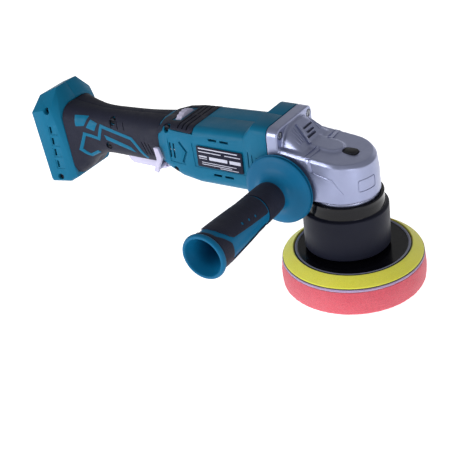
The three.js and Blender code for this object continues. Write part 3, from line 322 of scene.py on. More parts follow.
class Look:
    """A procedural material: a Principled surface with colour mottling, roughness variation and bump."""

    def __init__(self, name, color, roughness, metallic=0.0, **sockets):
        self.material = bpy.data.materials.new(name)
        self.material.use_nodes = True
        self.tree = self.material.node_tree
        self.shader = self.tree.nodes["Principled BSDF"]
        self.coords = self.tree.nodes.new("ShaderNodeTexCoord")
        self.color = (*color, 1)
        self.roughness = roughness
        self.shader.inputs["Base Color"].default_value = self.color
        self.shader.inputs["Roughness"].default_value = roughness
        self.shader.inputs["Metallic"].default_value = metallic
        for key, value in sockets.items():
            self.shader.inputs[key.replace("_", " ")].default_value = value
        self.height = None

    def node(self, kind, **values):
        node = self.tree.nodes.new(kind)
        for key, value in values.items():
            if key in node.inputs:
                node.inputs[key].default_value = value
            else:
                setattr(node, key, value)
        return node

    def link(self, a, b):
        self.tree.links.new(a, b)

    def noise(self, scale, detail=3, rough=0.55, stretch=None):
        texture = self.node("ShaderNodeTexNoise", Scale=scale, Detail=detail, Roughness=rough)
        source = self.coords.outputs["Object"]
        if stretch:
            mapping = self.node("ShaderNodeMapping")
            mapping.inputs["Scale"].default_value = stretch
            self.link(source, mapping.inputs["Vector"])
            source = mapping.outputs["Vector"]
        self.link(source, texture.inputs["Vector"])
        return texture.outputs["Fac"]

    def cells(self, scale):
        texture = self.node("ShaderNodeTexVoronoi", feature="F1", Scale=scale)
        self.link(self.coords.outputs["Object"], texture.inputs["Vector"])
        return texture.outputs["Distance"]

    def spread(self, source, lowest, highest):
        """Stretches the middle of a texture's range to run from lowest to highest."""
        ramp = self.node("ShaderNodeMapRange")
        for key, value in {"From Min": 0.3, "From Max": 0.7, "To Min": lowest, "To Max": highest}.items():
            ramp.inputs[key].default_value = value
        self.link(source, ramp.inputs["Value"])
        return ramp.outputs["Result"]

    def mottle(self, source, other, share):
        """Mixes a share of a second colour in, as the source says."""
        mix = self.node("ShaderNodeMix", data_type="RGBA")
        current = self.shader.inputs["Base Color"]
        if current.is_linked:
            self.link(current.links[0].from_socket, mix.inputs[6])
        else:
            mix.inputs[6].default_value = self.color
        mix.inputs[7].default_value = (*other, 1)
        self.link(self.spread(source, 0.0, share), mix.inputs[0])
        self.link(mix.outputs[2], current)
        return self

    def vary_roughness(self, source, amount):
        self.link(self.spread(source, self.roughness - amount, self.roughness + amount),
                  self.shader.inputs["Roughness"])
        return self

    def bump(self, source, distance):
        node = self.node("ShaderNodeBump", Strength=1.0, Distance=distance)
        self.link(source, node.inputs["Height"])
        if self.height:
            self.link(self.height.outputs["Normal"], node.inputs["Normal"])
        self.height = node
        self.link(node.outputs["Normal"], self.shader.inputs["Normal"])
        return self


def linear(hexa):
    """A colour given as RRGGBB, in linear light."""
    values = [int(hexa[i:i + 2], 16) / 255 for i in (0, 2, 4)]
    return tuple(v / 12.92 if v <= 0.04045 else ((v + 0.055) / 1.055) ** 2.4 for v in values)


def moulded(name, hexa, darker, roughness=0.42, grain=0.00006):
    """Injection moulded plastic with a fine spark-eroded grain."""
    look = Look(name, linear(hexa), roughness, Specular_IOR_Level=0.12)
    look.mottle(look.noise(22, 4), linear(darker), 0.35)
    look.vary_roughness(look.noise(60, 5), 0.07)
    look.bump(look.noise(1600, 4, 0.7), grain)
    look.bump(look.noise(420, 2), grain * 0.8)
    return look.material


def soft_rubber(name, hexa, dusty, grain=0.00012):
    """Soft overmould: matt, slightly dusty, with a pebbled skin."""
    look = Look(name, linear(hexa), 0.6, Sheen_Weight=0.02, Sheen_Roughness=0.5, Specular_IOR_Level=0.18)
    look.mottle(look.noise(30, 5, 0.65), linear(dusty), 0.35)
    look.vary_roughness(look.noise(90, 4), 0.09)
    look.bump(look.cells(900), grain)
    look.bump(look.noise(240, 3), grain * 0.5)
    return look.material


def cast_metal(name, hexa, darker, roughness=0.34):
    """Die-cast alloy under satin silver paint, with a sandy skin."""
    look = Look(name, linear(hexa), roughness, metallic=0.82, Coat_Weight=0.2, Coat_Roughness=0.2)
    look.mottle(look.noise(35, 5), linear(darker), 0.4)
    look.vary_roughness(look.noise(120, 5), 0.08)
    look.bump(look.noise(900, 5, 0.7), 0.00009)
    look.bump(look.noise(90, 3), 0.00012)
    return look.material


def machined(name, hexa, darker, roughness=0.28, stretch=(1, 1, 14)):
    """Turned or ground metal with fine tool marks."""
    look = Look(name, linear(hexa), roughness, metallic=1.0)
    look.mottle(look.noise(40, 4, 0.6, stretch), linear(darker), 0.6)
    look.vary_roughness(look.noise(260, 3, 0.6, stretch), 0.1)
    look.bump(look.noise(700, 3, 0.6, stretch), 0.00004)
    return look.material


def foam_skin(name, hexa, pale, pore_scale=1150, depth=0.00035):
    """Open-cell foam: pores of several sizes, with a soft sheen."""
    look = Look(name, linear(hexa), 0.95, Sheen_Weight=0.35, Sheen_Roughness=0.6,
                Subsurface_Weight=0.12, Subsurface_Scale=0.004)
    look.mottle(look.noise(55, 5, 0.6), linear(pale), 0.45)
    look.mottle(look.cells(pore_scale), tuple(c * 0.55 for c in linear(hexa)), 0.35)
    look.bump(look.cells(pore_scale), depth)
    look.bump(look.cells(pore_scale * 2.3), depth * 0.5)
    return look.material


def loop_fabric(name, hexa, shade):
    """Brushed loop fabric: short tangled fibres."""
    look = Look(name, linear(hexa), 0.95, Sheen_Weight=0.6, Sheen_Roughness=0.4)
    look.mottle(look.noise(900, 6, 0.75), linear(shade), 0.8)
    look.bump(look.noise(1500, 6, 0.8), 0.0005)
    look.bump(look.cells(2200), 0.0002)
    return look.material


def glossy(name, hexa, roughness=0.12):
    """Polished black plastic with faint hairlines."""
    look = Look(name, linear(hexa), roughness, Specular_IOR_Level=0.2, Coat_Weight=0.1, Coat_Roughness=0.05)
    look.mottle(look.noise(30, 3), tuple(c * 1.8 for c in linear(hexa)), 0.4)
    look.vary_roughness(look.noise(180, 6, 0.75), 0.06)
    look.bump(look.noise(300, 3), 0.00002)
    return look.material


def solder_mask(name):
    """Green circuit board with copper tracks showing through the mask."""
    look = Look(name, linear("1F6B3A"), 0.3, Coat_Weight=0.4)
    wave = look.node("ShaderNodeTexWave", Scale=180, Distortion=2.5)
    look.link(look.coords.outputs["Object"], wave.inputs["Vector"])
    look.mottle(wave.outputs["Fac"], linear("2F8A4B"), 0.7)
    look.bump(wave.outputs["Fac"], 0.00005)
    return look.material


def winding(name):
    """Enamelled copper wire laid side by side."""
    look = Look(name, linear("B8734A"), 0.3, metallic=0.9, Coat_Weight=0.5)
    wave = look.node("ShaderNodeTexWave", Scale=420, Distortion=0.6, bands_direction="Y")
    look.link(look.coords.outputs["Object"], wave.inputs["Vector"])
    look.mottle(wave.outputs["Fac"], linear("6A3A22"), 0.8)
    look.bump(wave.outputs["Fac"], 0.0003)
    return look.material


LOOKS = {
    "teal": moulded("teal plastic", "0B678A", "085A7A"),
    # a lighter copy of the teal for the bevelled edges: a painted highlight
    "teal_highlight": moulded("teal plastic painted highlight", "1B7898", "166B8B", 0.34),
    "bright_teal": moulded("bright teal plastic", "0A618A", "075176", 0.38),
    "rubber": soft_rubber("black overmould", "1B1D2D", "272A3C"),
    # a lighter copy of the overmould for the bevelled edges: a painted highlight
    "rubber_highlight": soft_rubber("black overmould painted highlight", "2C2D3B", "383949"),
    "silver": cast_metal("silver casting", "989EBC", "8288A8", 0.36),
    # a much lighter copy of the casting for the bevelled edges: a painted highlight
    "silver_highlight": cast_metal("silver casting painted highlight", "D3D5EA", "B8BACF", 0.22),
    "steel": machined("machined steel", "9A9DA5", "6D7078"),
    "dark_steel": machined("black oxide steel", "2B2C33", "17181D", 0.35),
    "black": moulded("black plastic", "15161C", "22232C", 0.45),
    "shroud": moulded("shroud plastic", "191B29", "20222F", 0.42, 0.00005),
    "gloss": glossy("polished black plastic", "08080E", 0.16),
    # painted reflection: the bright ring on the backing plate's rim
    "rim_reflection": moulded("painted rim reflection", "8D90A4", "73768B", 0.3),
    "label": moulded("printed film", "14162A", "1B1D33", 0.4),
    "print": moulded("pale print", "C9CBDD", "A9ABC0", 0.5),
    "iron": machined("plated iron", "5A5B62", "3C3D43", 0.45),
    "brass": machined("brass strip", "C9A64A", "8F7430", 0.3),
    "copper": winding("copper winding"),
    "board": solder_mask("circuit board"),
    "yellow": foam_skin("yellow polyurethane", "EAE63C", "F0EC62", 2600, 0.00006),
    "lavender": loop_fabric("lavender loop fabric", "C0A9CE", "9C86B4"),
    "foam": foam_skin("pink foam", "DE4E62", "E56877"),
    "light": moulded("pale plastic", "C9C6E0", "B3B0CC", 0.42),
    "hook": loop_fabric("black hook fabric", "2A2A33", "15151B"),
}


def painted(obj, look, edge=None):
    """Gives a piece its material, and a second, lighter one that paints a highlight on its bevelled edges."""
    obj.data.materials.clear()
    obj.data.materials.append(LOOKS[look])
    if edge:
        obj.data.materials.append(LOOKS[edge])
    return obj


def placed(obj, body, slot, *nodes):
    """Makes a piece ride on a body and stand for CAD nodes, which it hides. The slot is not used."""
    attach(obj, body)
    if nodes:
        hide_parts(*nodes)
    return obj


def copy_of(node, name):
    obj = link(bpy.data.objects.new(name, NODES[node].data.copy()))
    return weld(obj)


# ---------------- the body's outer form

# Sections of the body: x, half width, lowest and highest z, corner radius and lean, in millimetres.
GRIP_SECTIONS = [
    (-299, 29, 56, 138, 14.5, 0.2), (-287, 24.5, 63, 131.5, 14.5, 0.15), (-272, 20, 73.8, 129, 14.5, 0),
    (-256, 18.5, 82.5, 128, 14.5, 0), (-230, 18.5, 84, 129, 14.5, 0), (-205, 19, 84.5, 130.5, 14.5, 0),
    (-180, 21.5, 87, 132.5, 14.5, 0),
]
MOTOR_SECTIONS = [
    GRIP_SECTIONS[-1], (-168, 25.5, 88, 134.4, 8, 0), (-154, 27.4, 83.5, 136, 8, 0),
    (-134, 28, 81, 137, 8, 0), (-82, 28, 82, 139.4, 8, 0), (-72, 30.5, 76, 150, 7, 0),
    (-56.5, 30.5, 76, 150, 7, 0),
]
# The foot: x, half width, lowest and highest z, lean, and the width and height cut off its upper corners.
FOOT_SECTIONS = [(-319, 34.5, 52, 139, 0.118, 17, 11.5), (-299, 30.5, 53, 149, 0.08, 16, 17),
                 (-291, 26.5, 58, 136, 0.1, 12, 12)]
FOOT_CORNER = 4
FORM_AXIS_Z = 0.108
FORM_RADIUS = 0.024       # turns an angle round the body into a length along it


def curve_point(p, q, r, s, t):
    """The value at t between q and r on a smooth curve through p, q, r and s."""
    return 0.5 * (2 * q + (r - p) * t + (2 * p - 5 * q + 4 * r - s) * t * t
                  + (3 * q - p - 3 * r + s) * t ** 3)


def between(sections, per_gap):
    """More sections on a smooth curve through the given ones."""
    out = []
    for i in range(len(sections) - 1):
        a, b = sections[max(i - 1, 0)], sections[i]
        c, d = sections[i + 1], sections[min(i + 2, len(sections) - 1)]
        for k in range(per_gap):
            out.append(tuple(curve_point(*values, k / per_gap) for values in zip(a, b, c, d)))
    return out + [sections[-1]]


def form(name, sections, steps=8):
    """A closed solid through rounded rectangles."""
    rings = []
    for x, half, bottom, top, corner, lean in sections:
        centre, radius = (bottom + top) / 2 * MM, corner * MM
        ring = []
        for quarter, (sy, sz) in enumerate(((1, 1), (-1, 1), (-1, -1), (1, -1))):
            cy = sy * (half * MM - radius)
            cz = top * MM - radius if sz > 0 else bottom * MM + radius
            for k in range(steps + 1):
                angle = (quarter + k / steps) * math.pi / 2
                y, z = cy + radius * math.cos(angle), cz + radius * math.sin(angle)
                ring.append(Vector((x * MM + lean * (centre - z), y, z)))
        rings.append(ring)
    return skinned(name, rings)


def skinned(name, rings):
    """A closed solid through rings of equal point counts."""
    count = len(rings[0])
    points = [p for ring in rings for p in ring]
    faces = [(s * count + i, s * count + (i + 1) % count, (s + 1) * count + (i + 1) % count,
              (s + 1) * count + i) for s in range(len(rings) - 1) for i in range(count)]
    faces += [tuple(range(count)), tuple(range(len(points) - count, len(points)))]
    return outwards(new_object(name, points, faces))


def foot_form(name):
    """The battery foot, with its slanted upper corners."""
    rings = []
    for x, half, bottom, top, lean, cut_wide, cut_tall in FOOT_SECTIONS:
        right = [(half - FOOT_CORNER, bottom), (half - FOOT_CORNER * 0.3, bottom + FOOT_CORNER * 0.3),
                 (half, bottom + FOOT_CORNER), (half, top - cut_tall), (half - cut_wide, top)]
        outline = right + [(-y, z) for y, z in reversed(right)]
        rings.append([Vector((x + lean * ((bottom + top) / 2 - z), y, z)) * MM for y, z in outline])
    return skinned(name, rings)


def around(tree):
    """Places (x, arc length) outlines on the form, the arc running from the top towards +Y."""
    def place(x, arc):
        angle = arc / FORM_RADIUS
        out = Vector((0, math.sin(angle), math.cos(angle)))
        hit, normal, _, _ = tree.ray_cast(Vector((x, 0, FORM_AXIS_Z)) + out * CAST_FAR, -out)
        if hit is None:
            hit, normal, _, _ = tree.find_nearest(Vector((x, 0, FORM_AXIS_Z)) + out * CAST_FAR / 4)
        return hit, (normal if normal.dot(out) > 0 else -normal)
    return place


def arc_at(tree, x, z):
    """The arc length, measured from the top, of the side's point at (x, z)."""
    hit, _ = from_side(tree, 1)(x, z)
    return math.atan2(hit.y, hit.z - FORM_AXIS_Z) * FORM_RADIUS


grip_form = form("grip_form", between(GRIP_SECTIONS, 6))
motor_form = form("motor_form", MOTOR_SECTIONS)
FORM = surface_of([grip_form, motor_form])
GRIP_FORM = surface_of([grip_form])
foot = foot_form("foot_form")
FOOT = surface_of([foot])
for helper in (grip_form, motor_form, foot):
    bpy.data.objects.remove(helper)

# ---------------- housing halves

SIDES = {"left": -1, "right": 1}
SCREW_HOLES = {f"{place}_{level}": middle(f"housing_screw_{place}_{level}")
               for place in ("front", "grip", "foot") for level in ("upper", "lower")}
ARROW_PANEL = mm([(-167, 121), (-150.5, 124.4), (-143.4, 112), (-147.6, 98.6), (-165.4, 98.4)])
ARROW_SLOT = mm([(-152.6, 120.6), (-145.2, 111.4), (-150.4, 100.2)])
LABEL_PANEL = mm([(-138, 122.4), (-82.6, 123), (-80.4, 99.6), (-136.6, 98.8)])
FLANGE_GROOVES = [(-77.6, 104, 124.5), (-72.8, 103, 122.8), (-68, 102, 121)]
GROOVE_WIDTH = 1.3
ARROW_WIDTH = 0.0024
SIDE_SLOTS = [0.28, 0.45, 0.62, 0.80]      # along the foot's side, between its two screws
SIDE_SLOT_SHAPES = [(0.0, 0.0036, 0.0011, 0.004), (0.0024, 0.0052, 0.0046, 0.0005)]   # off, half sizes, depth
PANEL_DEPTH = 0.0006
SLOT_DEPTH = 0.0022
GROOVE_DEPTH = 0.0009
# width of the housing's bevels, which carry the painted edge highlight
HIGHLIGHT_BEVEL = 0.0005


def housing_cuts(side):
    """Recesses in one side of the motor housing and the foot."""
    place = from_side(FORM, side)
    cuts = [carve(ARROW_PANEL, place, PANEL_DEPTH, 0.004),
            carve(ribbon(ARROW_SLOT, ARROW_WIDTH), place, SLOT_DEPTH),
            carve(LABEL_PANEL, place, PANEL_DEPTH, 0.006)]
    for x, z0, z1 in FLANGE_GROOVES:
        groove = mm([(x, z0), (x + GROOVE_WIDTH, z0), (x + GROOVE_WIDTH, z1), (x, z1)])
        cuts.append(carve(groove, place, GROOVE_DEPTH, 0.004))
    top, foot = SCREW_HOLES["foot_upper"], SCREW_HOLES["foot_lower"]
    along = Vector((foot.x - top.x, 0, foot.z - top.z))
    step = along.normalized()
    across = Vector((-step.z, 0, step.x))
    on_foot = from_side(FOOT, side)
    for share in SIDE_SLOTS:
        for offset, half_long, half_wide, depth in SIDE_SLOT_SHAPES:
            centre = Vector((top.x, 0, top.z)) + along * share + across * offset
            corners = [centre + step * u * half_long + across * v * half_wide
                       for u, v in ((-1, -1), (1, -1), (1, 1), (-1, 1))]
            cuts.append(carve([(p.x, p.z) for p in corners], on_foot, depth, 0.006))
    return cuts


def housing_half(word, side):
    node = f"{word}_housing"
    obj = painted(copy_of(node, f"{node}_shell"), "teal", "teal_highlight")
    combine(obj, housing_cuts(side))
    rounded_edges(obj, HIGHLIGHT_BEVEL)
    return placed(obj, BODY_OF[node], SLOT_OF[node], node)


# ---------------- soft grip and collar

SEAM = 0.00015            # half the gap between the left and right skins
SKIN_SUNK = 0.0021
GRIP_FRONT = -0.1803
GRIP_REAR = -0.304
GRIP_LINE = [(-260.5, 87.5), (-270, 82.5), (-278.8, 89.4), (-272.4, 106), (-256.3, 102.8), (-251.4, 116.6),
             (-215.6, 109.4), (-204.7, 97.4), (-199, 91.4)]
GRIP_BAR = [(-248.8, 108.0), (-217.5, 100.4), (-211.8, 95.4), (-246.8, 103.2)]
GRIP_PATCHES = [[(-281.4, 124.6), (-266.6, 124), (-271.6, 114.6), (-280.4, 113.8)],
                [(-264.4, 121.2), (-256, 118.6), (-260.4, 110.2), (-269.6, 112.8)]]
COLLAR_EDGE = [(-136, 133.4), (-138.6, 131.2), (-161.2, 131.3)]     # lower edge, from the front to the screw
COLLAR_BAND = [(-172.6, 127.6), (-180.3, 121.4)]                    # from the screw down to the grip
COLLAR_REAR = [(-180.3, 127.2), (-177.6, 130.2)]                    # the crescent's lower tip
COLLAR_REAR_TOP = -0.1765
COLLAR_GROOVES = (-0.1528, -0.1478, -0.1428)
COLLAR_GROOVE_HALF = 0.0007
SCREW_RING = 0.0056
SCREW_WELL = 0.0037
SKIN_LINE = 0.0034
SKIN_TICKS = (-0.2415, -0.2335, -0.2255)   # short slanted grooves behind the line
SKIN_SHIFTS = (0.0, 0.0042, 0.0084)        # and the three in front of it


def slot_cutters():
    """The openings for the paddle and the lock-off lever in the underside of the grip."""
    paddle_low, paddle_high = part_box("switch_paddle")
    lever_low, lever_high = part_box("lock_off_lever")
    room = 0.0005
    return [block(paddle_low.x - room, paddle_high.x + 0.004, paddle_low.y - room, paddle_high.y + room,
                  paddle_low.z - 0.03, paddle_high.z),
            block(lever_low.x - 0.005, lever_high.x + 0.006, -0.06, 0, paddle_low.z - 0.03, 0.0914)]


def grip_skin(word, side):
    node = f"{word}_grip_skin"
    under = math.pi * FORM_RADIUS
    outline = [(GRIP_REAR, side * SEAM), (GRIP_FRONT, side * SEAM),
               (GRIP_FRONT, side * (under - SEAM)), (GRIP_REAR, side * (under - SEAM))]
    obj = draped(f"{node}_moulded", outline, around(GRIP_FORM), 0.002, 0, SKIN_SUNK)
    painted(obj, "rubber", "rubber_highlight")
    foot = foot_form("cut")
    foot.data.transform(Matrix.Translation((0.0004, 0, 0)))
    cuts = [foot, *slot_cutters()]
    if side < 0:
        cuts += [rod(SCREW_WELL, Vector((hole.x, -0.05, hole.z)), Vector((hole.x, -0.006, hole.z)), 32)
                 for hole in (SCREW_HOLES["grip_upper"], SCREW_HOLES["grip_lower"])]
    place = from_side(GRIP_FORM, side)
    for x in SKIN_TICKS:
        cuts.append(carve(ribbon([(x, 0.1236), (x + 0.003, 0.1165)], 0.0009), place, 0.0007))
    for shift in SKIN_SHIFTS:
        line = ribbon([(-0.2035 + shift, 0.1085), (-0.1975 + shift, 0.0965)], 0.001)
        cuts.append(carve(line, place, 0.0008))
    combine(obj, cuts)
    rounded_edges(obj, 0.0004, 32)
    return placed(obj, BODY_OF[node], SLOT_OF[node], node)


def grip_inlays(word, side):
    """Teal strips that show through the grip's skin."""
    place = from_side(GRIP_FORM, side)
    shapes = {"line": ribbon(mm(GRIP_LINE), SKIN_LINE), "bar": mm(GRIP_BAR),
              "patch_rear": mm(GRIP_PATCHES[0]), "patch_front": mm(GRIP_PATCHES[1])}
    for key, outline in shapes.items():
        obj = draped(f"{word}_grip_inlay_{key}", outline, place, 0.002, 0.0004, 0.0012, 0.00025)
        placed(smooth(painted(obj, "teal"), 50), "body", "teal")


def collar_outline(side):
    """The collar's outline on one side, as (x, arc) points."""
    ring = SCREW_HOLES["front_upper"]
    edge = [(x * MM, arc_at(FORM, x * MM, z * MM)) for x, z in COLLAR_EDGE]
    if side < 0:
        hole = arc_at(FORM, ring.x, ring.z)
        for k in range(9):
            angle = math.radians(20 + 140 * k / 8)
            edge.append((ring.x + SCREW_RING * math.cos(angle), hole - SCREW_RING * math.sin(angle)))
    band = [(x * MM, arc_at(FORM, x * MM, z * MM)) for x, z in COLLAR_BAND + COLLAR_REAR]
    front, seam = (COLLAR_EDGE[0][0] * MM, SEAM), (COLLAR_REAR_TOP, SEAM)
    return [(x, side * arc) for x, arc in [front, *edge, *band, seam]]


def collar_skin(word, side):
    node = f"{word}_collar_skin"
    obj = draped(f"{node}_moulded", collar_outline(side), around(FORM), 0.0016, 0.0003, SKIN_SUNK)
    painted(obj, "rubber", "rubber_highlight")
    window = rounded_box(DIAL_X - 0.0052, DIAL_X + 0.0056, -0.0148, 0.0148, 0.0016)
    cuts = [prism(window, 0.12, 0.16, lambda u, v, w: (u, v, w))]
    for x in COLLAR_GROOVES:
        start, end = side * 0.0006, side * arc_at(FORM, x, 0.1335)
        rear, front = x - COLLAR_GROOVE_HALF, x + COLLAR_GROOVE_HALF
        groove = [(rear, start), (front, start), (front, end), (rear, end)]
        cuts.append(carve(groove, around(FORM), GROOVE_DEPTH, 0.002))
    combine(obj, cuts)
    rounded_edges(obj, 0.0003, 32)
    return placed(obj, BODY_OF[node], SLOT_OF[node], node)


def dial_bezel():
    """The teal frame round the speed dial's window."""
    outline = rounded_box(DIAL_X - 0.0050, DIAL_X + 0.0054, -0.0146, 0.0146, 0.0015)
    obj = draped("dial_bezel", outline, from_top(FORM), 0.002, -0.0002, 0.0019)
    painted(obj, "teal", "teal_highlight")
    wheel = high("speed_dial").x - DIAL_X + 0.0006
    combine(obj, [block(DIAL_X - wheel, DIAL_X + wheel, -0.0124, 0.0124, 0.12, 0.16)])
    rounded_edges(obj, 0.0003)
    placed(obj, "body", "teal")


# Plain bars on the plate: left end, height, length and thickness, as shares of its size.
PLATE_BARS = [
    (0.04, 0.90, 0.86, 0.05), (0.04, 0.74, 0.50, 0.04), (0.62, 0.74, 0.34, 0.04), (0.04, 0.52, 0.18, 0.06),
    (0.04, 0.42, 0.18, 0.03), (0.27, 0.47, 0.40, 0.16), (0.72, 0.47, 0.24, 0.16), (0.10, 0.24, 0.76, 0.03),
    (0.10, 0.15, 0.66, 0.03), (0.50, 0.07, 0.40, 0.03),
]


def rating_plate():
    """A blank printed film with plain bars."""
    plate_low, plate_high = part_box("rating_label")
    outline = rounded_box(plate_low.x, plate_high.x, plate_low.z, plate_high.z, 0.0008)
    obj = painted(side_prism(outline, plate_low.y, plate_high.y), "label")
    obj.name = "rating_plate_film"
    placed(rounded_edges(obj, 0.00015), "body", SLOT_OF["rating_label"], "rating_label")
    wide, tall = plate_high.x - plate_low.x, plate_high.z - plate_low.z
    face = plate_low.y
    for i, (u, v, w, h) in enumerate(PLATE_BARS):
        x0, z0 = plate_low.x + u * wide, plate_low.z + v * tall - h * tall / 2
        x1, z1 = x0 + w * wide, z0 + h * tall
        bar = side_prism([(x0, z0), (x1, z0), (x1, z1), (x0, z1)], face - 0.00008, face + 0.0001)
        bar.name = f"plate_bar_{i + 1}"
        placed(painted(bar, "print"), "body", SLOT_OF["rating_label"])


# ---------------- gear case

CASE_LEVELS = [(89.6, 31.7, 31.7, 0), (107.6, 31.1, 31.1, 0), (121, 29.6, 29.4, 1), (124, 28, 26.2, 1)]
CASE_REAR_X = -46.9
DECK_RISE = 0.11
DECK_NOSE = 28
CASE_FLANGE = [(-55.9, 30.5, 76, 150, 7, 0), (-44.9, 30.5, 76, 150, 7, 0)]
CASE_DOME = [(-47.9, 23.5, 112, 147.5, 17, 0), (-41, 23.5, 112, 147, 17, 0), (-25, 23.5, 112, 130, 2, 0)]
CASE_RIDGE = [(-31, 10.5), (-8, 10.5), (-4, 9.4), (-1.4, 7.4), (0.2, 5), (1, 2.6)]      # x and half width
RIDGE_STEP = 1.9
SIDE_BOSS_R = 0.011
CASE_VOXEL = 0.0008
EXHAUST = [(-36.5, -1.5, 12.8), (-33.3, -1, 10.4), (-30.7, -5.4, 8.8)]      # rear x, and the y range
EXHAUST_WIDTH = 1.8
CASE_PANEL = mm([(-20.4, 131.6), (-15.2, 131), (-13.2, 117.2), (5.6, 112.8), (14.2, 99.8), (12.8, 99.2),
                 (4.4, 111.6), (-15.0, 115.8)])
PANEL_TAB = mm([(-20.6, 131.4), (-16.4, 130.6), (-13.4, 117.2), (-17.4, 117.6)])
NOSE_PANEL_ANGLES = (-39, -5)
NOSE_PANEL_Z = (0.0998, 0.1102)
NOSE_LINE = 0.0008
RIB_WIDTH = 0.0011
RIB_RISE = 0.0006
RIB_REAR, RIB_FRONT = -0.0395, -0.0292
RIBS = (-0.0190, -0.0164, -0.0138, -0.0112, 0.0150, 0.0176, 0.0202)         # y of each rib's edge
DOME_BAR = [(-0.0400, -0.0052), (-0.0250, -0.0086)]
DOME_BAR_WIDTH = 0.0022


def deck_z(x):
    return CASE_LEVELS[-1][0] + DECK_RISE * (DECK_NOSE - x)


def case_form():
    """The casting's solid outer shape, its edges softened as a mould would leave them."""
    rings = []
    angles = [math.pi * (k / 64 - 0.5) for k in range(65)]
    for z, half, nose, sloped in CASE_LEVELS:
        ring = [(nose * math.cos(a), half * math.sin(a)) for a in angles]
        ring += [(CASE_REAR_X, half), (CASE_REAR_X, -half)]
        rings.append([Vector((x, y, z + sloped * (deck_z(x) - CASE_LEVELS[-1][0]))) * MM for x, y in ring])
    obj = skinned("gear_case_casting", rings)
    ridge = [(x, half, 112, deck_z(x) + RIDGE_STEP, 1.4, 0) for x, half in CASE_RIDGE]
    side = Vector((0, high("gear_case").y, 0))
    combine(obj, [form("flange", CASE_FLANGE), form("dome", CASE_DOME), form("ridge", ridge, 3),
                  rod(SIDE_BOSS_R, HANDLE_CENTRE - side, HANDLE_CENTRE + side, 64)], "UNION")
    remesh = obj.modifiers.new("skin", "REMESH")
    remesh.mode = "VOXEL"
    remesh.voxel_size = CASE_VOXEL
    soften = obj.modifiers.new("soften", "SMOOTH")
    soften.factor = 0.5
    soften.iterations = 3
    return applied(obj)


def case_voids():
    """The bores and pockets inside the casting."""
    motor = Vector((0, 0, MOTOR_Z))
    voids = [rod(0.0285, Vector((0, 0, 0.086)), Vector((0, 0, 0.111)), 96),
             rod(0.0073, Vector((0, 0, 0.1085)), Vector((0, 0, 0.1185)), 48),
             rod(0.013, motor + Vector((-0.0575, 0, 0)), motor + Vector((-0.010, 0, 0)), 64),
             rod(0.0025, Vector((0.012, 0, 0.104)), Vector((0.012, 0, 0.133)), 24)]
    button_low, button_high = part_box("lock_button")
    room = 0.0005
    pocket = rounded_box(button_low.x - room, button_high.x + room,
                         button_low.y - room, button_high.y + room, 0.0051, 8)
    voids.append(prism(pocket, 0.119, 0.136, lambda u, v, w: (u, v, w)))
    for x, y0, y1 in EXHAUST:
        slot = rounded_box(x * MM, (x + EXHAUST_WIDTH) * MM, y0 * MM, y1 * MM, 0.0008)
        voids.append(prism(slot, 0.121, 0.152, lambda u, v, w: (u, v, w)))
    for side in (-1, 1):
        face = HANDLE_CENTRE + Vector((0, side * (high("gear_case").y + 0.001), 0))
        voids.append(rod(0.0044, face, face - Vector((0, side * 0.0142, 0)), 32))
    for n in range(1, 5):
        _, y, z = middle(f"flange_screw_{n}")
        front, rear = Vector((-0.040, y, z)), Vector((-0.0575, y, z))
        voids += [rod(0.0037, Vector((-0.0473, y, z)), front, 32), rod(0.0022, rear, front, 24)]
    return voids


def nose_panel_cut(tree):
    """A thin engraved line round a rounded panel on the nose."""
    radius = 0.031
    facing = math.radians(sum(NOSE_PANEL_ANGLES) / 2)
    half = math.radians(NOSE_PANEL_ANGLES[1] - NOSE_PANEL_ANGLES[0]) / 2 * radius

    def place(u, v):
        angle = facing + u / radius
        out = Vector((math.cos(angle), math.sin(angle), 0))
        hit, normal, _, _ = tree.ray_cast(Vector((0, 0, v)) + out * 0.09, -out)
        return hit, (normal if normal.dot(out) > 0 else -normal)
    path = rounded_box(-half, half, *NOSE_PANEL_Z, 0.0022, 3)
    return [carve(ribbon([start, end], NOSE_LINE), place, 0.0005, 0.002)
            for start, end in zip(path, path[1:] + path[:1])]


def case_details(tree):
    """Cooling ribs down the slope of the dome, the bar beside its slots, and the raised line on each side."""
    top = from_top(tree)
    details = []
    for y in RIBS:
        outline = [(RIB_REAR, y), (RIB_FRONT, y), (RIB_FRONT, y + RIB_WIDTH), (RIB_REAR, y + RIB_WIDTH)]
        details.append(draped("rib", outline, top, 0.0015, RIB_RISE, 0.001, 0.0002))
    details.append(draped("rib", ribbon(DOME_BAR, DOME_BAR_WIDTH), top, 0.0015, 0.0018, 0.001, 0.0004))
    for side in (-1, 1):
        place = from_side(tree, side)
        details.append(draped("line", CASE_PANEL, place, 0.002, 0.0006, 0.001, 0.00025))
        details.append(draped("line", PANEL_TAB, place, 0.002, 0.0011, 0.001, 0.0003))
    return details


def gear_case():
    obj = painted(case_form(), "silver", "silver_highlight")
    tree = surface_of([obj])
    cuts = nose_panel_cut(tree) + case_voids()
    combine(obj, case_details(tree), "UNION")
    combine(obj, cuts)
    return placed(smooth(obj, 42), "body", SLOT_OF["gear_case"], "gear_case")


# ---------------- shroud, plate and pad

SHROUD_WALL = 0.0024
SHROUD_STEP = 0.0755      # height of the step between the skirt and the cone
SHROUD_ROOF = 0.0833
SHROUD_HOLE = 0.019
PLATE_SUNK = 0.0016       # the plate's face, below the top of its hub
FOAM_EDGE = 0.0034
FOAM_BELLY = 0.0006
FOAM_ROUGH = 0.00028      # how far a cut face wanders

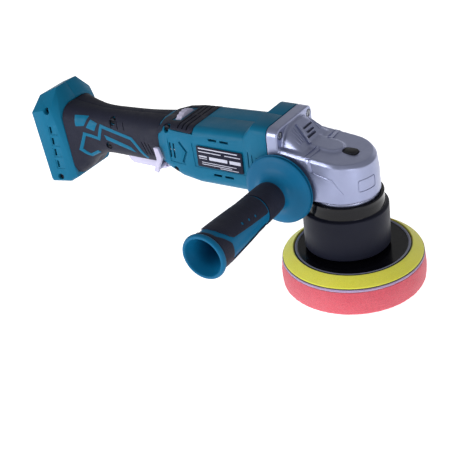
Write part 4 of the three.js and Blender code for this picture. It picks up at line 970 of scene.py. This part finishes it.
def drive_shroud():
    base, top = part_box("drive_shroud")
    outer = (top.x - base.x) / 2
    cap = outer - 0.0038
    well = cap - 0.0033        # radius of the sunk roof
    profile = filleted([
        (outer - SHROUD_WALL, base.z), (outer, base.z, 0.0012),
        (outer - 0.0002, SHROUD_STEP - 0.0006, 0.0012), (outer - 0.0034, SHROUD_STEP + 0.0002, 0.0008),
        (outer - 0.0036, SHROUD_STEP + 0.0012, 0.0006), (outer - 0.0042, SHROUD_ROOF + 0.0005, 0.0014),
        (cap, top.z, 0.0010), (well, top.z), (well, SHROUD_ROOF),
        (SHROUD_HOLE, SHROUD_ROOF), (SHROUD_HOLE, SHROUD_ROOF - SHROUD_WALL),
        (well, SHROUD_ROOF - SHROUD_WALL, 0.002), (outer - SHROUD_WALL - 0.0015, SHROUD_STEP - 0.002)])
    obj = painted(turned("drive_shroud_moulded", profile, sides=160), "shroud", "gloss")
    for p in obj.data.polygons:
        p.material_index = int(p.center.z > SHROUD_STEP + 0.0004)
    return placed(smooth(obj, 45), "body", SLOT_OF["drive_shroud"], "drive_shroud")


def backing_plate():
    base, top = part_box("backing_plate")
    radius = (top.x - base.x) / 2
    face = top.z - PLATE_SUNK
    profile = filleted([
        (0, base.z), (radius, base.z), (radius, face - 0.0004, 0.0016),
        (radius - 0.0022, face + 0.0003, 0.0009), (radius - 0.0034, face - 0.0008, 0.0008),
        (0.020, face - 0.0003), (0.0125, face, 0.001), (0.0115, top.z, 0.0006), (0, top.z)])
    obj = painted(turned("backing_plate_disc", profile, PAD_CENTRE, sides=180), "gloss", "rim_reflection")
    # a ring near the rim takes the second material, a painted reflection
    for p in obj.data.polygons:
        inwards = radius - (p.center - PAD_CENTRE).xy.length
        p.material_index = int(0.0012 < inwards < 0.0030 and p.center.z > face - 0.0012)
    socket = [PAD_CENTRE + Vector((0, 0, z)) for z in (base.z + 0.0015, top.z + 0.002)]
    combine(obj, [rod(0.0033, *socket, 32)])
    return placed(smooth(obj, 30), "pad_assembly", SLOT_OF["backing_plate"], "backing_plate")


def rim_cushion():
    base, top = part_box("rim_cushion")
    outer = (top.x - base.x) / 2
    inner = high("backing_plate").x - PAD_CENTRE.x + 0.0003
    bottom = base.z + 0.0004
    profile = filleted([
        (0, bottom), (outer, bottom, 0.0003), (outer, bottom + 0.0010, 0.0012),
        (inner + 0.0006, top.z, 0.0008), (inner, top.z - 0.0006), (inner, base.z + 0.0026),
        (0, base.z + 0.0026)])
    obj = painted(turned("rim_cushion_bevel", profile, PAD_CENTRE, sides=180), "yellow")
    return placed(smooth(obj, 45), "pad_assembly", SLOT_OF["rim_cushion"], "rim_cushion")


def hook_layer():
    """The thin black hook fabric under the rim."""
    base = low("rim_cushion")
    radius = (high("rim_cushion").x - base.x) / 2
    profile = filleted([(0, base.z - 0.0002), (radius + 0.0006, base.z - 0.0002, 0.0002),
                        (radius + 0.0006, base.z + 0.0003, 0.0002), (0, base.z + 0.0003)])
    obj = painted(turned("hook_layer", profile, PAD_CENTRE, sides=160), "hook")
    placed(smooth(obj), "pad_assembly", "black")


def ruffled(obj, amount, scale, only_above=0.0):
    """Moves each point a little along the radius, as cut fabric and foam are never quite true."""
    for v in obj.data.vertices:
        out = Vector((v.co.x - PAD_CENTRE.x, v.co.y - PAD_CENTRE.y, 0))
        if out.length > 0.02 and v.co.z > only_above:
            v.co += out.normalized() * amount * noise.noise(v.co * scale)
    return obj


def loop_layer():
    base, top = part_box("loop_layer")
    radius = (top.x - base.x) / 2
    side = [(radius - 0.0004 + 0.0006 * math.sin(math.pi * k / 8), base.z + (top.z - base.z) * k / 8)
            for k in range(9)]
    profile = [(0, base.z), *side, (radius * 0.6, top.z), (0, top.z)]
    obj = ruffled(turned("loop_layer_fabric", profile, PAD_CENTRE, sides=300), 0.0005, 900)
    return placed(smooth(painted(obj, "lavender"), 60), "pad_assembly", SLOT_OF["loop_layer"], "loop_layer")


def foam_pad():
    """The foam's side bellies out, its lower edge is rounded, and the cut skin is pitted."""
    base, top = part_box("foam_pad")
    radius = (top.x - base.x) / 2
    face = [(radius * k / 14 * 0.9, base.z + 0.0002 * math.sin(k * 2.1) ** 2) for k in range(15)]
    centre_r, centre_z = radius - FOAM_EDGE, base.z + FOAM_EDGE
    lower = [(centre_r + FOAM_EDGE * math.sin(a), centre_z - FOAM_EDGE * math.cos(a))
             for a in (math.pi / 2 * k / 7 for k in range(8))]
    side = [(radius + FOAM_BELLY * math.sin(math.pi * t) - 0.0009 * t ** 3, centre_z + (top.z - centre_z) * t)
            for t in (k / 16 for k in range(1, 17))]
    profile = [*face, *lower, *side, (radius * 0.7, top.z), (0, top.z)]
    obj = turned("foam_pad_cut", profile, PAD_CENTRE, sides=320)
    ruffled(obj, FOAM_ROUGH, 420, base.z + 0.0005)
    smooth(painted(obj, "foam"), 60)
    return placed(obj, "pad_assembly", SLOT_OF["foam_pad"], "foam_pad")


# ---------------- side handle

HANDLE_END = 0.1547
GUARD_FRONT = 0.0381
CORE_REACH = 0.0006       # how far the core lies below the soft grip
CORE_START = 0.0757
NECK_R = 0.0136
STUD_HOLE = 0.0046
HANDLE_ARC = 0.016        # turns an angle round the handle into a length along it
DEGREE = math.pi / 180 * HANDLE_ARC
# Distances along the handle from the gear case's middle, and the soft grip's radius there.
HANDLE_STATIONS = [(0.048, 0.0138), (0.056, 0.0146), (0.0735, 0.0150), (0.088, 0.0152), (0.100, 0.0161),
                   (0.120, 0.0172), (0.134, 0.0178), (0.146, 0.0176), (0.1475, 0.0177)]
# The soft areas, as distances along the handle and degrees from its top. The first two are mirrored.
PALM = [(0.0772, 0), (0.0772, 76), (0.0800, 79), (0.1300, 60), (0.1335, 50), (0.1378, 27), (0.1395, 0)]
END_BAND = [(0.1448, 0), (0.1442, 27), (0.1385, 52), (0.1352, 68), (0.1350, 118), (0.1352, 179.6),
            (0.1481, 179.6), (0.1481, 90), (0.1481, 0)]
COLLAR = [(0.0492, -179.6), (0.0752, -179.6), (0.0752, 179.6), (0.0492, 179.6)]
STRIP = [(0.0800, 116), (0.1348, 122), (0.1348, 238), (0.0800, 244)]
DOTS = [(0.0946, 57), (0.1037, 52.5), (0.1129, 47.5)]


def handle_radius(t):
    return float(np.interp(t, *zip(*HANDLE_STATIONS)))


def on_handle(u, v):
    """Places (distance along the handle, arc from the top towards +X) outlines on the grip."""
    angle = v / HANDLE_ARC
    out = Vector((math.sin(angle), 0, math.cos(angle)))
    return HANDLE_CENTRE + HANDLE_AXIS * u + out * handle_radius(u), out


def arcs(points):
    return [(u, degrees * DEGREE) for u, degrees in points]


def both_sides(points):
    """An outline mirrored over the handle's top."""
    return points + [(u, -degrees) for u, degrees in points[::-1]][:-1]


def guard():
    """The guard disc with its groove, and the cone that runs into the grip."""
    base = -high("side_handle_core").y
    outer = (high("side_handle_core").z - low("side_handle_core").z) / 2
    profile = filleted([
        (STUD_HOLE, base), (outer - 0.0030, base, 0.0008), (outer, base + 0.0016, 0.0012),
        (outer - 0.0004, GUARD_FRONT - 0.0006, 0.0012), (outer - 0.0034, GUARD_FRONT + 0.0008, 0.002),
        (0.0205, GUARD_FRONT + 0.0026, 0.006), (0.0152, GUARD_FRONT + 0.0062, 0.004),
        (NECK_R, GUARD_FRONT + 0.0105, 0.002), (NECK_R, 0.062), (NECK_R, 0.0755), (STUD_HOLE, 0.0755)], 8)
    obj = painted(turned("side_handle_guard", profile, HANDLE_CENTRE, HANDLE_AXIS, 180), "bright_teal")
    placed(smooth(obj, 32), "side_handle", SLOT_OF["side_handle_core"])


def handle_core():
    """The teal core, seen between the soft areas, with its flared open end."""
    core = [(r - CORE_REACH, t) for t, r in HANDLE_STATIONS if t > CORE_START]
    flare = [(0.0176, 0.1483), (0.0200, 0.1504, 0.0012), (0.0202, 0.1528, 0.0012),
             (0.0190, HANDLE_END, 0.0012), (0.0170, HANDLE_END, 0.0012), (0.0158, 0.1512, 0.002),
             (0.0132, 0.1440, 0.003), (0.0118, 0.1300, 0.003), (0.0116, 0.0645), (STUD_HOLE, 0.0645)]
    profile = filleted([(STUD_HOLE, CORE_START), *core, *flare], 6)
    profile.insert(1, Vector((handle_radius(CORE_START) - CORE_REACH, CORE_START)))
    obj = painted(turned("side_handle_barrel", profile, HANDLE_CENTRE, HANDLE_AXIS, 160), "bright_teal")
    return placed(smooth(obj, 40), "side_handle", SLOT_OF["side_handle_core"], "side_handle_core")


def handle_grip():
    """The soft areas: a collar, the palm area with its pointed lower edges, a strip below and an end band."""
    slot = SLOT_OF["side_handle_grip"]
    dots = [(u, side * degrees * DEGREE) for u, degrees in DOTS for side in (-1, 1)]
    for key, shape in {"palm": both_sides(PALM), "end_band": both_sides(END_BAND), "collar": COLLAR,
                       "strip": STRIP}.items():
        obj = draped(f"side_handle_soft_{key}", arcs(shape), on_handle, 0.0012, 0.0004, 0.0009, 0.0003)
        painted(obj, "rubber")
        if key == "palm":
            combine(obj, [carve(circle(u, v, 0.0013, 16), on_handle, 0.0004, 0.002) for u, v in dots])
        placed(smooth(obj, 50), "side_handle", slot, *(["side_handle_grip"] if key == "palm" else []))
    for i, (u, v) in enumerate(dots):
        name = f"side_handle_dot_{i + 1}"
        obj = draped(name, circle(u, v, 0.00115, 16), on_handle, 0.002, 0.0002, 0.0008, 0.0001)
        placed(smooth(painted(obj, "bright_teal"), 50), "side_handle", slot)


# ---------------- carried-over pieces

FINISHED = {                # node: look, lighter edge look painted as a highlight on the bevels, bevel width
    "switch_paddle": ("light", None, 0.0009), "lock_off_lever": ("light", None, 0.0006),
    "speed_dial": ("light", None, 0.0003), "lock_button": ("black", "rubber_highlight", 0.0008),
    "bearing_cover": ("silver", "silver_highlight", 0.0004), "terminal_block": ("black", None, 0.0004),
    "side_handle_stud": ("steel", None, 0.0003), "eccentric_hub": ("iron", "steel", 0.0005),
    "pad_stub": ("steel", None, 0.0004), "lower_pad_bearing": ("steel", None, 0.0003),
    "guard_ring": ("bright_teal", None, 0.0005), "motor_can": ("iron", "steel", 0.0004),
}
PLAIN = {                   # look: the CAD nodes that take it as they are
    "iron": ["left_magnet", "right_magnet"],
    "brass": ["left_brush_holder", "right_brush_holder"],
    "black": ["left_brush", "right_brush", "switch_body", "switch_plunger", "dial_post", "cooling_fan"],
    "steel": ["lower_spindle_bearing", "upper_spindle_bearing", "front_motor_bearing", "rear_motor_bearing",
              "upper_pad_bearing", "paddle_pin", "rotor_shaft", "bevel_pinion", "spindle", "bevel_wheel"],
    "board": ["control_board"],
    "copper": ["wound_rotor", "commutator"],
}


def finished(node, look, edge, width):
    """A copy of a CAD node with rounded edges, which stands for it."""
    obj = painted(copy_of(node, f"{node}_finished"), look, edge)
    rounded_edges(obj, width, 40)
    return placed(obj, BODY_OF[node], SLOT_OF[node], node)


def contact_blades():
    """Plated blades over the contact block's moulded ones."""
    half, lean = 0.0007, math.atan(FOOT_SECTIONS[0][4])
    centre = Vector((low("terminal_block").x + 0.0066, 0, middle("terminal_block").z))
    for i, y in enumerate((-0.012, 0.003, 0.012)):
        blade = block(-0.0059, 0.0, y - half, y + half, -0.0100, 0.0100)
        blade.data.transform(Matrix.Translation(centre) @ Matrix.Rotation(-lean, 4, "Y"))
        blade.name = f"contact_blade_{i + 1}"
        painted(blade, "brass")
        placed(rounded_edges(blade, 0.0003), "body", SLOT_OF["terminal_block"])


# ---------------- stage, light and camera

CAMERA_PLACE = Vector((0.40464, -0.72432, 0.54254))
CAMERA_YAW, CAMERA_PITCH, CAMERA_ROLL = (math.radians(a) for a in (36.58, 29.97, -7.51))
CAMERA_LENS = 86.84
LIT_CENTRE = Vector((-0.1, 0, 0.09))


def camera():
    cam = link(bpy.data.objects.new("camera", bpy.data.cameras.new("camera")))
    cam.data.lens = CAMERA_LENS
    cam.data.sensor_width = 36
    cam.data.clip_start, cam.data.clip_end = 0.05, 20
    turn = (Matrix.Rotation(CAMERA_YAW, 4, "Z") @ Matrix.Rotation(math.pi / 2 - CAMERA_PITCH, 4, "X")
            @ Matrix.Rotation(CAMERA_ROLL, 4, "Z"))
    cam.matrix_world = Matrix.Translation(CAMERA_PLACE) @ turn
    bpy.context.scene.camera = cam


def area_light(name, place, size, power):
    data = bpy.data.lights.new(name, "AREA")
    data.shape = "RECTANGLE"
    data.size, data.size_y = size
    data.energy = power
    lamp = link(bpy.data.objects.new(name, data))
    lamp.location = place
    lamp.rotation_mode = "QUATERNION"
    lamp.rotation_quaternion = (LIT_CENTRE - Vector(place)).to_track_quat("-Z", "Y")


def stage():
    floor = block(-6, 6, -6, 6, -0.02, -0.0002)
    floor.name = "floor"
    look = Look("floor", (0.9, 0.9, 0.91), 0.9)
    look.vary_roughness(look.noise(3, 2), 0.03)
    look.shader.inputs["Emission Color"].default_value = (1, 1, 1, 1)
    look.shader.inputs["Emission Strength"].default_value = 0.9
    floor.data.materials.append(look.material)
    world = bpy.data.worlds.new("studio")
    world.use_nodes = True
    background = world.node_tree.nodes["Background"]
    background.inputs["Color"].default_value = (1, 1, 1, 1)
    background.inputs["Strength"].default_value = 0.36
    bpy.context.scene.world = world
    bpy.context.scene.view_settings.view_transform = "Standard"
    area_light("key", (-0.9, -1.5, 0.5), (0.9, 0.6), 15)
    area_light("fill", (1.4, -0.8, 0.3), (0.7, 0.6), 5)
    area_light("back", (-0.2, 1.4, 0.5), (1.4, 0.4), 1.5)


# ---------------- build

camera()
stage()
for word, side in SIDES.items():
    housing_half(word, side)
    grip_skin(word, side)
    collar_skin(word, side)
    grip_inlays(word, side)
dial_bezel()
rating_plate()
gear_case()
drive_shroud()
backing_plate()
rim_cushion()
hook_layer()
loop_layer()
foam_pad()
guard()
handle_core()
handle_grip()
contact_blades()
for node, (look, edge, width) in FINISHED.items():
    finished(node, look, edge, width)
for node in NODES:
    if "screw" in node and node not in FINISHED:
        finished(node, "dark_steel" if node.startswith("housing") else "steel", None, 0.0003)
for look, nodes in PLAIN.items():
    for node in nodes:
        painted(NODES[node], look)
